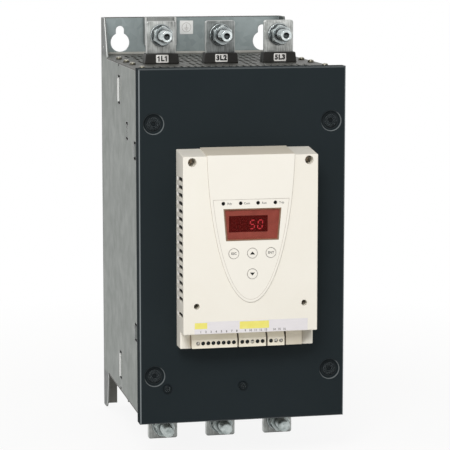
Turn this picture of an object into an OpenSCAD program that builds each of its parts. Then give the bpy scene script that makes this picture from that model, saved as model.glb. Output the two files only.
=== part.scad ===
// Panel-mounted soft starter for three-phase motors.
// X is to the right, Y is towards the wall and Z is up. The origin is on the wall plane, at the middle of
// the back plate. Every name ending in _d is a distance from the wall towards the front.

/* [Enclosure] */
// Width over the side walls
box_w = 198.4; // [194:0.2:216]
// Height over the top and bottom grilles
box_h = 344; // [336:1:370]
// Distance from the wall to the front of the cover
box_d = 262.5; // [256:0.5:282]
// Thickness of the zinc sheet
sheet_t = 2; // [1.5:0.1:2.4]
// Inside radius of the chassis bends
bend_r = 0.8; // [0.4:0.1:2]
// Width of the flanges that carry the grilles
rim_w = 15; // [13:0.5:18]

/* [Back plate] */
// Height of the back plate
plate_h = 425; // [412:1:455]
// Depth of the upper ears at their tip
ear_tip_d = 23; // [15:1:38]
// Depth of the upper ears at the box
ear_root_d = 41; // [39:1:55]
// Depth of the lower ears at their tip
foot_tip_d = 25; // [15:1:30]
// Depth of the lower ears at the box
foot_root_d = 32; // [31:1:45]
// Chamfer at the tip of the lower ears
foot_chamfer = 8; // [2:0.5:12]
// Distance of the fixing holes from the side faces
fix_inset = 20.6; // [17:0.1:28]
// Radius of the round part of a keyhole
keyhole_r = 10.2; // [8:0.1:12]
// Radius of the neck of a keyhole
neck_r = 4.5; // [3:0.1:6]
// Height of the neck's end above the keyhole's middle
neck_rise = 13.2; // [12:0.1:16]
// Distance from the plate's top edge to the keyhole's middle
keyhole_drop = 27.2; // [24:0.1:28]
// Radius of the open foot slots
foot_slot_r = 6; // [4:0.1:7]
// Height of a foot slot's round end above the plate's lower edge
foot_slot_h = 18; // [10:0.5:24]
// Radius of the round hole in each upper ear
ear_hole_r = 2.2; // [1.5:0.1:4]

/* [Cover] */
// Thickness of the cover sheet
cover_t = 1.5; // [1:0.1:2]
// Rise of the cover over each grille
cover_lap = 2.7; // [2.3:0.1:5]
// Overhang of the cover past each side wall
cover_over = 3.8; // [3:0.1:5]
// Depth of the cover's rim
cover_flange = 16; // [12:0.5:18]
// Outside radius of the cover's bends
cover_bend_r = 2; // [1.6:0.1:3]
// Radius of the dished screw wells at the face
well_r = 10.5; // [9:0.1:12]
// Radius of the wells at their floor
well_floor_r = 7.6; // [6.8:0.1:8.5]
// Depth of the wells
well_depth = 4; // [2:0.1:5]
// Distance of the wells from the cover's sides
well_inset = 14.7; // [13:0.1:17]
// Height of the upper wells above the middle
well_up = 121.4; // [115:0.1:135]
// Distance of the lower wells below the middle
well_down = 126.7; // [115:0.1:135]
// Distance of the two small cover screws below the middle
clip_down = 139.5; // [130:0.1:150]
// Distance of the left small cover screw from the cover's side
clip_inset = 27; // [20:0.5:50]
// Radius of the heads of the screws in the wells
well_head_r = 6.2; // [5:0.1:6.5]
// Width across the flats of the sockets in those heads
well_socket_af = 5; // [4:0.1:6]

/* [Bars] */
// Width of a bar
bar_w = 30.5; // [26:0.1:34]
// Thickness of a bar
bar_t = 5; // [4:0.1:6]
// Distance between neighbouring bars
bar_pitch = 61; // [58:0.5:63]
// Distance from the wall to the front face of the bars
bar_d = 154.5; // [152:0.5:158]
// Reach of the line bars above the top grille
line_reach = 43; // [36:0.5:50]
// Reach of the load bars below the bottom grille
load_reach = 44.5; // [36:0.5:50]
// Corner radius of a bar's free end
bar_corner_r = 2.5; // [1:0.1:6]
// Distance from a bar's free end to its bolt
bolt_inset = 14.4; // [13:0.1:18]
// Radius of the bolt thread
bolt_r = 6; // [5:0.1:6.2]
// Length of bolt standing out of the bar's front face
bolt_free = 33; // [26:0.5:38]
// Width across the flats of the nut and of the bolt head
nut_af = 18; // [16:0.1:20]
// Height of the nut
nut_h = 9; // [7:0.1:11]
// Radius of the flat washer
washer_r = 11.3; // [10.6:0.1:12.5]
// Thickness of the flat washer
washer_t = 2.5; // [1.5:0.1:3]
// Radius of the spring washer
spring_r = 10; // [9:0.1:10.5]
// Thickness of the spring washer
spring_t = 3; // [2:0.1:4]

/* [Insulators] */
// Width of an insulator cap at its base
ins_w = 35.5; // [35:0.1:40]
// Width of an insulator cap at its top
ins_top_w = 33; // [32:0.1:35]
// Height of an insulator cap
ins_h = 10.5; // [8:0.1:14]
// Wall of the insulator before and behind the bar
ins_wall = 5; // [4:0.1:6]
// Length of the insulator's neck below the grille
ins_neck = 10; // [6:0.5:14]

/* [Control unit] */
// Width of the control unit
unit_w = 132.6; // [131:0.1:140]
// Height of the control unit at the cover
unit_h = 193.4; // [192:0.1:200]
// Depth of the unit's base
base_h = 17.6; // [17:0.1:20]
// Depth of the unit's lid
lid_h = 17.8; // [17:0.1:20]
// Drop of the unit's top face from the cover to the front
unit_draft = 3.9; // [2:0.1:6]
// Wall thickness of the unit's housing
unit_wall = 2.5; // [2:0.1:3]
// Height of the terminal bay below the lid
bay_h = 17.1; // [16.5:0.1:19]
// Width of the two lower corner posts
lug_w = 10.5; // [8:0.1:10.9]
// Height of a side louvre
louvre_h = 4; // [2:0.1:5]
// Distance between louvres
louvre_pitch = 7.77; // [6.5:0.01:8]
// Number of louvres in a row
louvre_n = 16; // [10:1:17]
// Distance of the first louvre below the unit's top
louvre_drop = 27; // [20:0.5:32]

/* [Keypad] */
// Thickness of the raised keypad panel
panel_t = 1.2; // [0.8:0.1:2]
// Half width of the keypad panel's oval
panel_half_w = 43.1; // [41:0.1:46]
// Half length of the keypad panel's oval
panel_long = 159.4; // [155:0.1:165]
// Height of the oval's middle above the unit's middle
panel_mid = 110; // [106:0.5:112]
// Recess of the touch area in the panel
pad_recess = 0.3; // [0.1:0.1:0.5]
// Width of the border round the touch area
pad_border = 2.6; // [1:0.1:4]
// Height of the touch area's top edge
pad_top = 51; // [50:0.1:56]
// Radius of a key
key_r = 4.7; // [3.5:0.1:5.2]
// Distance between neighbouring keys across
key_dx = 18.3; // [15:0.1:20]
// Distance from the key row down to the lower key
key_dz = 20.2; // [15:0.1:24]
// Height of the key row
key_z = -1.5; // [-4:0.1:0]
// Offset of the keypad's middle
pad_x = 1.2; // [-1:0.1:2]
// Travel of a key
key_travel = 0.5; // [0.2:0.1:0.6]
// Top width of the display window
disp_top_w = 55.8; // [50:0.1:58]
// Bottom width of the display window
disp_low_w = 50.8; // [45:0.1:54]
// Height of the display window's lower edge
disp_low = 11.4; // [10.5:0.1:13]
// Height of the display window
disp_h = 30; // [24:0.1:31]
// Radius of a status light
led_r = 1.6; // [1:0.1:2]
// Distance between status lights
led_pitch = 17.05; // [14:0.05:17.5]
// Offset of the row of status lights
led_x = -1.8; // [-3:0.1:0]
// Height of the status lights
led_z = 47.2; // [46:0.1:47.5]

/* [Terminals] */
// Distance between terminals
pole_pitch = 5.08; // [5:0.01:5.1]
// Extra width of a terminal block over its poles
block_extra = 1.6; // [1:0.1:1.8]
// Gap between neighbouring blocks
block_gap = 1.7; // [0.5:0.1:1.8]
// Offset of the first block's left side
block_x = -52.8; // [-53:0.1:-52.2]
// Height of a terminal block
block_h = 14; // [12:0.1:14.6]
// Depth of a terminal block
block_d = 13.8; // [12:0.1:14]
// Radius of a terminal screw's hole
pole_r = 2; // [1.2:0.05:2.2]

/* [Power parts] */
// Thickness of the heatsink's base
sink_base = 15; // [10:0.5:18]
// Gap between the heatsink and each side wall
sink_side = 11; // [8:0.5:14]
// Gap between the heatsink and the top grille
sink_top_gap = 22; // [16:1:40]
// Thickness of a cooling fin
fin_t = 3; // [2:0.1:4]
// Distance between cooling fins
fin_pitch = 9.5; // [8:0.1:12]
// Gap between the bars and the inner plate
inner_gap = 27.5; // [24:0.5:31]
// Width of a thyristor module
scr_w = 34; // [30:0.5:40]
// Height of a thyristor module
scr_h = 94; // [90:1:100]
// Depth of a thyristor module
scr_t = 30; // [26:0.5:32]
// Radius of a module's contact posts
post_r = 8; // [6:0.1:9]
// Length of a module's contact posts
post_h = 7; // [5:0.1:9]
// Inner end of each bar, as a distance from the middle
bar_inner = 28; // [26:0.5:30]
// Width of a bypass contactor
bypass_w = 45; // [40:0.5:52]
// Height of a bypass contactor
bypass_h = 116; // [100:1:124]
// Depth of a bypass contactor
bypass_t = 50; // [40:1:56]
// Width of a current sensor
sensor_w = 52; // [46:0.5:56]
// Height of a current sensor
sensor_h = 24; // [18:0.5:30]
// Rise of a current sensor over the bar's front face
sensor_rise = 16; // [12:0.5:22]
// Distance of the current sensors below the middle
sensor_down = 100; // [90:1:110]
// Distance from the rear of the front rails to the cover's face
rail_back = 46.5; // [44:0.5:49]
// Width of a front rail
rail_w = 22; // [19:0.5:26]

/* [Fans] */
// Gap beside a fan frame, to the middle and to the grille's flange
fan_side = 3; // [2:0.5:6]
// Height of a fan frame
fan_h = 25; // [22:0.5:28]
// Gap between the fans and the heatsink
fan_gap = 5; // [3:0.5:8]
// Radius of the fan hub
fan_hub_r = 17; // [14:0.5:20]
// Radius of the fan shaft
fan_shaft_r = 1.5; // [1.2:0.1:2.5]
// Number of fan blades
fan_blades = 7; // [5:1:9]

/* [Grille] */
// Width of a vent slot
slot_w = 3.6; // [2.5:0.1:5]
// Length of a vent slot
slot_l = 33; // [20:0.5:36]
// Distance between slots across
slot_pitch = 7; // [6.5:0.1:10]
// Distance between rows of slots
slot_row = 43; // [40:0.5:50]

/* [Earth terminal] */
// Offset of the earth terminal from the middle
earth_x = -35.4; // [-40:0.1:-30]
// Width of the earth bracket
earth_w = 34.5; // [28:0.5:36]
// Reach of the bracket's two flanges
earth_flange = 8; // [5:0.5:12]
// Gap between the bracket and the top grille
earth_gap = 10; // [8:0.5:16]
// Radius of the earth bolt
earth_bolt_r = 4; // [3:0.1:5]
// Width across the flats of the earth nut
earth_nut_af = 13; // [10:0.1:15]

/* [Hidden] */
// Smoothness of round shapes
$fn = 48;
// Gap that lets one fixed piece slip into another
slip = 0.2;
// Gap round a piece that moves
play = 0.3;
// Running clearance of the fan shaft in its bearing
shaft_play = 0.04;
// Overshoot of a cut past the face it starts from
over = 1;
// Thickness of the circuit boards
pcb_t = 1.6;
// Small radius of a screw shank and of its head
screw_r = 2.4;
screw_head_r = 4.4;
screw_head_h = 2.6;
screw_len = 8;

half_w = box_w / 2;
half_plate = plate_h / 2;
grille_z = box_h / 2;
wall_z = grille_z - sheet_t;
inner_w = box_w - 2 * sheet_t;
wall_gap = 1;
wall_d = box_d - well_depth - cover_t - wall_gap;
cover_w = box_w + 2 * cover_over;
cover_rear_d = box_d - cover_flange;
cover_h = box_h + 2 * cover_lap;
keyhole_z = half_plate - keyhole_drop;
fix_x = half_w - fix_inset;
well_x = cover_w / 2 - well_inset;
clip_x = cover_w / 2 - clip_inset;
rail_d = box_d - rail_back;
bar_xs = [-bar_pitch, 0, bar_pitch];

// The chassis's side silhouette
ear_hole_d = 18;
ear_hole_rise = 12.7;
ear_hole_z = wall_z + ear_hole_rise;
foot_fillet = 6;
// Slots in the side walls for the tabs of the inner sheets, with a cross slit at each end
plate_tab_z = wall_z - 26;
plate_tab_l = 24;
rail_tab_z = 91;
rail_tab_l = 12.5;
spare_slot_d = 169;
spare_slot_z = 106;
slit_l = 11;
slit_h = 2.8;
tab_proud = 1.5;
// Notches in the upper and lower edges of the side walls
notch_d = 120;
notch_w = 6;
notch_h = 2.5;
// Flanges under the grilles
rim_rear_gap = 6;
rim_front_gap = 2;

// The grilles' screws
rim_screw_out = 2.5;
rim_x = half_w - sheet_t - rim_w / 2 + rim_screw_out;
rim_screw_end = 24.5;
rim_screw_ds = [78, 126, 165, cover_rear_d - rim_screw_end];
rim_head_r = 3.2;
rim_head_h = 3;
grille_rear_flange = 3;
// Gaps of the grille to the ears and to the cover, and the plain border round its slots
seam = 1;
slot_start_d = 20;
slot_end_gap = 8;
slot_bar_gap = 3;

// The insulators' caps and necks
ins_d0 = bar_d - bar_t - ins_wall;
ins_d1 = bar_d + ins_wall;
ins_lip = 1.5;

// The bolt sets of the bars: inside the nut the thread is drawn at its pitch radius
nut_d = bar_d + washer_t + spring_t;
thread_depth = 0.5;
pitch_r = bolt_r - thread_depth;
bolt_gap = 0.5;
bolt_head_h = 7.5;
dimple_r = bolt_r / 2;
dimple_h = 2.5;

// The cover's screw seats
well_floor_d = box_d - well_depth;
well_socket_h = 1.6;
cup_lap = 0.4;
cup_slope = cover_t * 0.9;
rail_boss_r = 5;
rail_end = 10;
// Cable window in the unit's base, and the larger one behind it in the cover
cable_w = 66;
cable_h = 60;
cable_edge = 8;

// The earth terminal
earth_inset = 0.5;
earth_top = half_plate - earth_inset;
earth_h = earth_top - grille_z - earth_gap;
earth_z = earth_top - earth_h / 2;
earth_bolt_l = 20;
earth_nut_h = 6.5;

// The control unit
unit_top = unit_h / 2;
unit_low = -unit_h / 2;
split_d = box_d + base_h;
lid_d = split_d + lid_h;
panel_d = lid_d + panel_t;
floor_d = box_d + unit_wall;
lid_low = unit_low + bay_h;
half_unit = unit_w / 2;
bay_half = half_unit - lug_w;
function unit_top_at(d) = unit_top - unit_draft * (d - box_d) / (base_h + lid_h);
unit_screw_inset = [8.9, 13.1];
unit_screw_x = [half_unit - unit_screw_inset[0], half_unit - unit_screw_inset[1]];
unit_screw_drop = 9.3;
unit_screw_rise = 44.6;
unit_screw_z = [unit_top - unit_screw_drop, unit_low + unit_screw_rise];
unit_well_r = [4.2, 2.9];
unit_boss_r = 5.6;
unit_screw_r = 1.5;
unit_screw_head_r = 2.6;
unit_screw_head_h = 2.5;
unit_screw_slot = 0.8;
seat_t = 1.5;
louvre_inset = 2.5;
louvre_d = floor_d + louvre_inset;
louvre_front_gap = 4;
louvre_front_d = lid_d - louvre_front_gap;
louvre_gap_n = louvre_n + 1;
// The control board, its posts and its two tall parts
board_gap = 4.6;
board_d = floor_d + board_gap;
board_front_d = board_d + pcb_t;
board_inset = 2;
lower_board_h = 34;
lower_board_top = unit_low + lower_board_h;
board_side = 1;
upper_board_half = unit_screw_x[1] - unit_boss_r - board_side;
board_top = unit_top - 20;
board_post_r = 2.5;
board_post_inset = 6;
board_post_zs = [-36, board_top - board_post_inset];
chip = [20, 3, 20];
chip_x = -16;
chip_z = 40;
coil = [14, 9, 22];
coil_x = 14;
coil_z = -29;

// The keypad behind the lid
lid_inner_d = lid_d - unit_wall;
key_lip = 1.3;
key_flange_r = key_r + key_lip;
key_flange_t = 1.2;
key_proud = 0.4;
key_stem_r = 2;
disp_board_gap = 11.4;
disp_board_d = lid_inner_d - disp_board_gap;
disp_board_front_d = disp_board_d + pcb_t;
switch_w = 6;
switch_h = 3;
switch_button_r = 1.75;
switch_button_h = 1.2;
switch_top_d = disp_board_front_d + switch_h + switch_button_h;
key_stem_end_d = switch_top_d + key_travel + play;
disp_board_x = 34;
disp_board_low = 6.3;
disp_board_rise = 10.8;
disp_board_z = [key_z - key_dz - disp_board_low, led_z + disp_board_rise];
disp_post_r = 2.5;
disp_post_inset = 4;
window_rest = 1;
panel_side = 0.3;
led_xs = [for (i = [0:3]) led_x + (i - 1.5) * led_pitch];
key_places = [[pad_x - key_dx, key_z], [pad_x, key_z], [pad_x + key_dx, key_z], [pad_x, key_z - key_dz]];
module_w = 37.7;
module_h = 15.5;
module_shift_x = 3.75;
module_shift_z = 0.55;
module_x = pad_x - module_shift_x;
module_z = disp_low + disp_h / 2 + module_shift_z;

// The terminals
block_lift = 0.8;
block_low = unit_low + block_lift;
block_slope = 4;
block_slope_h = 5.3;
pole_rise = 4.8;
pole_depth = 6;
wire_w = 3.4;
wire_t = 4.5;
wire_h = 6;
wire_rear = 12;
function block_w(n) = n * pole_pitch + block_extra;
// End plate of the first block, which reaches almost to the corner post
block_end_gap = 0.4;
block_end_w = bay_half + block_x - block_end_gap;
block5_x = block_x + block_w(8) + block_gap;
block3_x = block5_x + block_w(5) + block_gap;
socket_x = block3_x + block_w(3) + block_gap;
socket_w = 16;
socket_mouth_w = 11.8;
socket_mouth_t = 7.5;
socket_rear = 3;
socket_roof = 2;
socket_step = 1;

// The power parts
inner_d = bar_d - bar_t - inner_gap - sheet_t;
inner_margin = 10;
sink_d = bar_d - bar_t - post_h - scr_t;
sink_w = inner_w - 2 * sink_side;
sink_low = fan_h + fan_gap - wall_z;
sink_h = wall_z - sink_top_gap - sink_low;
sink_rear_gap = 10;
fin_gap_d = sheet_t + sink_rear_gap;
fin_n = floor((sink_w - fin_t) / fin_pitch / 2);
column_r = 5;
column_x = sink_w / 2 - column_r;
column_z = 120;
window_gap = 4;
window_w = 2 * bar_pitch + scr_w + 2 * window_gap;
window_h = scr_h + 2 * window_gap;
post_edge = 1;
post_z = scr_h / 2 - post_r - post_edge;
bypass_step = 12;
// The driver board and its tall parts
power_board_h = 236;
power_board_gap = 6;
power_part_inset = 10;
power_part_top = power_board_h / 2 - power_part_inset;
choke = [44, 18, 38];
link = [60, 12, 24];
driver = [26, 9, 20];

// The fans
fan_w = inner_w / 2 - rim_w - 2 * fan_side;
fan_x = fan_w / 2 + fan_side;
fan_d = (fin_gap_d + sink_d - sink_base) / 2;
fan_rim = 2;
fan_r = fan_w / 2 - fan_rim;
fan_motor_h = 5;
strut_w = 5;
strut_h = 3;
hub_gap = 0.6;
hub_low = fan_motor_h + hub_gap;
hub_inset = 1;
hub_h = fan_h - hub_low - hub_inset;
shaft_inset = 0.5;
blade_t = 1.6;
blade_w = hub_h * 1.25;
blade_r = fan_r - 1;
blade_angle = 40;

// Extrudes an X-Z outline forwards between two distances from the wall
module front(d0, d1) {
    translate([0, -d0, 0]) rotate([90, 0, 0]) linear_extrude(d1 - d0) children();
}

// Extrudes a Y-Z outline sideways between two values of X
module across(x0, x1) {
    translate([x0, 0, 0]) rotate([90, 0, 90]) linear_extrude(x1 - x0) children();
}

// Round peg along the depth
module peg(x, z, d0, d1, r) {
    translate([x, -d0, z]) rotate([90, 0, 0]) cylinder(h = d1 - d0, r = r);
}

// Six-sided prism along the depth, across flats af
module hex(x, z, d0, d1, af) {
    translate([x, -d0, z]) rotate([90, 0, 0]) cylinder(h = d1 - d0, d = af / cos(30), $fn = 6);
}

// Block between two depths, centred on x, from z0 up to z1
module block(x, w, d0, d1, z0, z1) {
    translate([x - w / 2, -d1, z0]) cube([w, d1 - d0, z1 - z0]);
}

// Rectangle whose two corners at the negative end of Y are rounded
module nosed(w, d, r) {
    translate([-w / 2, r - d]) square([w, d - r]);
    translate([r - w / 2, -d]) square([w - 2 * r, d]);
    for (s = [-1, 1]) translate([s * (w / 2 - r), r - d]) circle(r);
}

// Pan-shaped block with rounded front edges, open to the rear at depth d0
module pan_block(w, h, d0, d1, r) {
    translate([0, -d0, 0]) intersection() {
        linear_extrude(h, center = true) nosed(w, d1 - d0, r);
        rotate([0, 90, 0]) linear_extrude(w, center = true) nosed(h, d1 - d0, r);
    }
}

// Plan of the folded back plate and side walls
module chassis_plan() {
    outer_r = bend_r + sheet_t;
    mirror([0, 1]) difference() {
        translate([0, wall_d]) nosed(box_w, wall_d, outer_r);
        translate([0, wall_d + over]) nosed(inner_w, wall_d + over - sheet_t, bend_r);
    }
}

// Side view of the chassis with its upper and lower ears
module chassis_silhouette() {
    polygon([[0, -half_plate], [foot_chamfer - foot_tip_d, -half_plate],
        [-foot_tip_d, foot_chamfer - half_plate], [-foot_root_d, -wall_z - foot_fillet / 2],
        [-foot_root_d - foot_fillet, -wall_z], [-wall_d, -wall_z], [-wall_d, wall_z],
        [-ear_root_d, wall_z], [-ear_tip_d, half_plate], [0, half_plate]]);
}

// Round cut through both side walls
module side_hole(d, z, r) {
    translate([-half_w - over, -d, z]) rotate([0, 90, 0]) cylinder(h = box_w + 2 * over, r = r);
}

// Slot in both side walls for a sheet tab at depth d
module tab_slot(d, z, l) {
    block(0, box_w + 2 * over, d - slip, d + sheet_t + slip, z - l / 2 - slip, z + l / 2 + slip);
    for (s = [-1, 1]) translate([0, 0, z + s * (l + slit_h) / 2]) block(0, box_w + 2 * over,
        d + (sheet_t - slit_l) / 2, d + (sheet_t + slit_l) / 2, -slit_h / 2, slit_h / 2);
}

// Keyhole at the top and open slot at the foot of the back plate
module fixing_cuts(x) {
    peg(x, keyhole_z, -over, sheet_t + over, keyhole_r);
    peg(x, keyhole_z + neck_rise, -over, sheet_t + over, neck_r);
    block(x, 2 * neck_r, -over, sheet_t + over, keyhole_z, keyhole_z + neck_rise);
    peg(x, foot_slot_h - half_plate, -over, sheet_t + over, foot_slot_r);
    block(x, 2 * foot_slot_r, -over, sheet_t + over, -half_plate - over, foot_slot_h - half_plate);
}

module chassis() {
    color("lightslategray") difference() {
        union() {
            intersection() {
                linear_extrude(plate_h, center = true) chassis_plan();
                across(-half_w, half_w) chassis_silhouette();
            }
            // Flanges that carry the grilles
            for (s = [-1, 1], z = [-wall_z, wall_z - sheet_t])
                block(s * (inner_w - rim_w + slip) / 2, rim_w + slip, ear_root_d + rim_rear_gap,
                    wall_d - rim_front_gap, z, z + sheet_t);
        }
        for (s = [-1, 1]) fixing_cuts(s * fix_x);
        for (z = [-plate_tab_z, plate_tab_z]) tab_slot(inner_d, z, plate_tab_l);
        for (z = [-rail_tab_z, rail_tab_z]) tab_slot(rail_d, z, rail_tab_l);
        tab_slot(spare_slot_d, spare_slot_z, rail_tab_l);
        for (s = [-1, 1], z = [-wall_z, wall_z]) block(s * (half_w - sheet_t / 2), sheet_t + over,
            notch_d - notch_w / 2, notch_d + notch_w / 2, z - notch_h, z + notch_h);
        side_hole(ear_hole_d, ear_hole_z, ear_hole_r);
        for (x = [-rim_x, rim_x], d = rim_screw_ds) translate([x, -d, -grille_z])
            cylinder(h = box_h, r = screw_r + slip);
    }
}

// Vent slots of a grille, clear of the bars' insulators
module grille_slots() {
    cols = floor((inner_w / 2 - rim_w - slot_w) / slot_pitch);
    slot_end_d = box_d - cover_t - slot_end_gap;
    rows = floor((slot_end_d - slot_start_d - slot_l) / slot_row);
    for (row = [0:rows], col = [-cols:cols]) {
        d = slot_start_d + row * slot_row;
        x = (col + (row % 2) / 2) * slot_pitch;
        near_bar = d + slot_l > ins_d0 - slot_bar_gap && d < ins_d1 + slot_bar_gap
            && min([for (b = bar_xs) abs(x - b)]) < (ins_w + slot_w) / 2 + slot_bar_gap;
        in_reach = abs(x) < inner_w / 2 - rim_w - slot_w / 2;
        if (in_reach && !near_bar) translate([x - slot_w / 2, -d - slot_l]) square([slot_w, slot_l]);
    }
}

// Slotted plate that closes the top of the box
module grille() {
    ear_room = sheet_t + slip;
    neck_w = ins_w - 2 * ins_lip + 2 * slip;
    translate([0, 0, wall_z]) linear_extrude(sheet_t) difference() {
        union() {
            translate([-half_w, -wall_d]) square([box_w, wall_d - ear_root_d - seam]);
            translate([ear_room - half_w, seam + cover_t - box_d])
                square([box_w - 2 * ear_room, box_d - cover_t - seam - sheet_t]);
        }
        grille_slots();
        for (x = bar_xs) translate([x - neck_w / 2, ins_lip - slip - ins_d1])
            square([neck_w, ins_d1 - ins_d0 - 2 * ins_lip + 2 * slip]);
        for (x = [-rim_x, rim_x], d = rim_screw_ds) translate([x, -d]) circle(screw_r + slip);
    }
    // Upright flange against the back plate
    block(0, inner_w - 2 * bend_r - 2 * slip, sheet_t, 2 * sheet_t, grille_z, grille_z + grille_rear_flange);
}

module top_grille() {
    color("dimgray") grille();
}

module bottom_grille() {
    color("dimgray") mirror([0, 0, 1]) grille();
}

module grille_screws() {
    color("silver") for (s = [-1, 1], x = [-rim_x, rim_x], d = rim_screw_ds)
        mirror([0, 0, s < 0 ? 1 : 0]) translate([x, -d, 0]) {
            translate([0, 0, grille_z - screw_len]) cylinder(h = screw_len + over, r = screw_r);
            translate([0, 0, grille_z]) cylinder(h = rim_head_h, r = rim_head_r);
        }
}

// Places children at the four screw wells of the cover
module at_wells() {
    for (s = [-1, 1], z = [-well_down, well_up]) translate([s * well_x, 0, z]) children();
}

// Dished well of the cover, turned about the depth axis
module well_cup() {
    outer_r = well_r + cover_t + cup_lap;
    translate([0, -box_d, 0]) rotate([-90, 0, 0]) rotate_extrude() polygon([
        [screw_r + slip, well_depth], [well_floor_r, well_depth], [well_r, 0], [outer_r, 0],
        [outer_r, cover_t], [well_r + cup_slope, cover_t],
        [well_floor_r + cup_slope, well_depth + cover_t], [screw_r + slip, well_depth + cover_t]]);
}

module front_cover() {
    color("darkslategray") {
        difference() {
            pan_block(cover_w, cover_h, cover_rear_d, box_d, cover_bend_r);
            pan_block(cover_w - 2 * cover_t, cover_h - 2 * cover_t, cover_rear_d - over,
                box_d - cover_t, cover_bend_r - cover_t);
            at_wells() peg(0, 0, box_d - cover_t - over, box_d + over, well_r + cover_t);
            // Cable window behind the control unit
            block(0, cable_w + 2 * cable_edge, box_d - cover_t - over, box_d + over,
                -cable_h / 2 - cable_edge, cable_h / 2 + cable_edge);
            for (x = [-clip_x, 0]) peg(x, -clip_down, box_d - cover_t - over, box_d + over, screw_r + slip);
            for (i = [0, 1], s = [-1, 1]) peg(s * unit_screw_x[i], unit_screw_z[i],
                box_d - cover_t - over, box_d + over, unit_screw_r + slip);
        }
        at_wells() well_cup();
    }
}

module cover_screws() {
    color("black") {
        at_wells() {
            peg(0, 0, rail_d + sheet_t, well_floor_d + over, screw_r);
            difference() {
                peg(0, 0, well_floor_d, well_floor_d + screw_head_h, well_head_r);
                hex(0, 0, well_floor_d + screw_head_h - well_socket_h, well_floor_d + screw_head_h + over,
                    well_socket_af);
            }
        }
        for (x = [-clip_x, 0]) {
            peg(x, -clip_down, box_d - cover_t - screw_len, box_d + over, screw_r);
            peg(x, -clip_down, box_d, box_d + screw_head_h, screw_head_r);
        }
    }
}

// Upright rail inside a side wall, with a tab in the wall and bosses for the cover's screws
module front_rail(s) {
    color("gainsboro") difference() {
        union() {
            block(s * (inner_w - rail_w) / 2, rail_w, rail_d, rail_d + sheet_t, -well_down - rail_end,
                well_up + rail_end);
            for (z = [-rail_tab_z, rail_tab_z]) block(s * (half_w - sheet_t + tab_proud / 2),
                2 * sheet_t + tab_proud, rail_d, rail_d + sheet_t, z - rail_tab_l / 2, z + rail_tab_l / 2);
            for (z = [-well_down, well_up]) peg(s * well_x, z, rail_d,
                well_floor_d - cover_t - slip, rail_boss_r);
        }
        for (z = [-well_down, well_up]) peg(s * well_x, z, rail_d - over, box_d, screw_r + slip);
    }
}

module front_rail_left() {
    front_rail(-1);
}

module front_rail_right() {
    front_rail(1);
}

// Inner sheet that carries the sensors and the heatsink, tabbed into the side walls
module power_plate() {
    color("gainsboro") difference() {
        union() {
            block(0, inner_w - 2 * slip, inner_d, inner_d + sheet_t, inner_margin - wall_z,
                wall_z - inner_margin);
            for (z = [-plate_tab_z, plate_tab_z]) block(0, box_w + 2 * tab_proud, inner_d, inner_d + sheet_t,
                z - plate_tab_l / 2, z + plate_tab_l / 2);
        }
        block(0, window_w, inner_d - over, inner_d + sheet_t + over, -window_h / 2, window_h / 2);
    }
}

// Plan of the finned heatsink
module sink_plan() {
    translate([-sink_w / 2, -sink_d]) square([sink_w, sink_base]);
    for (i = [-fin_n:fin_n]) translate([i * fin_pitch - fin_t / 2, over - sink_d])
        square([fin_t, sink_d - over - fin_gap_d]);
}

module heatsink() {
    color("silver") translate([0, 0, sink_low]) linear_extrude(sink_h) sink_plan();
}

module heatsink_columns() {
    color("gold") for (x = [-column_x, column_x], z = [-column_z, column_z])
        peg(x, z, sink_d, inner_d, column_r);
}

// Thyristor module with a contact post for each bar
module thyristor(x) {
    color("dimgray") {
        block(x, scr_w, sink_d, sink_d + scr_t, -scr_h / 2, scr_h / 2);
        for (z = [-post_z, post_z]) peg(x, z, sink_d + scr_t, bar_d - bar_t, post_r);
    }
}

module thyristor_1() {
    thyristor(bar_xs[0]);
}

module thyristor_2() {
    thyristor(bar_xs[1]);
}

module thyristor_3() {
    thyristor(bar_xs[2]);
}

// Flat bar from its inner end to its free end, with a bolt hole
module bar(x, reach) {
    end_z = grille_z + reach;
    color("lightgray") front(bar_d - bar_t, bar_d) difference() {
        translate([x, bar_inner]) mirror([0, 1]) nosed(bar_w, end_z - bar_inner, bar_corner_r);
        translate([x, end_z - bolt_inset]) circle(bolt_r + bolt_gap);
    }
}

module line_bar_1() {
    bar(bar_xs[0], line_reach);
}

module line_bar_2() {
    bar(bar_xs[1], line_reach);
}

module line_bar_3() {
    bar(bar_xs[2], line_reach);
}

module load_bar_1() {
    mirror([0, 0, 1]) bar(bar_xs[0], load_reach);
}

module load_bar_2() {
    mirror([0, 0, 1]) bar(bar_xs[1], load_reach);
}

module load_bar_3() {
    mirror([0, 0, 1]) bar(bar_xs[2], load_reach);
}

// Bypass contactor that bridges a line bar and a load bar
module bypass(x) {
    shoulder_d = bar_d + bypass_t - bypass_step;
    color("darkkhaki") {
        block(x, bypass_w, bar_d, shoulder_d, -bypass_h / 2, bypass_h / 2);
        block(x, bypass_w, shoulder_d, bar_d + bypass_t, -bypass_h / 4, bypass_h / 4);
    }
}

module bypass_1() {
    bypass(bar_xs[0]);
}

module bypass_2() {
    bypass(bar_xs[1]);
}

module bypass_3() {
    bypass(bar_xs[2]);
}

// Current sensor block on the inner plate, with the load bar through it
module current_sensor(x) {
    seat_d = inner_d + sheet_t;
    color("black") difference() {
        block(x, sensor_w, seat_d, bar_d + sensor_rise, -sensor_down - sensor_h, -sensor_down);
        block(x, bar_w + 2 * slip, bar_d - bar_t - slip, bar_d + slip,
            -sensor_down - sensor_h - over, -sensor_down + over);
    }
}

module current_sensor_1() {
    current_sensor(bar_xs[0]);
}

module current_sensor_2() {
    current_sensor(bar_xs[1]);
}

module current_sensor_3() {
    current_sensor(bar_xs[2]);
}

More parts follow.
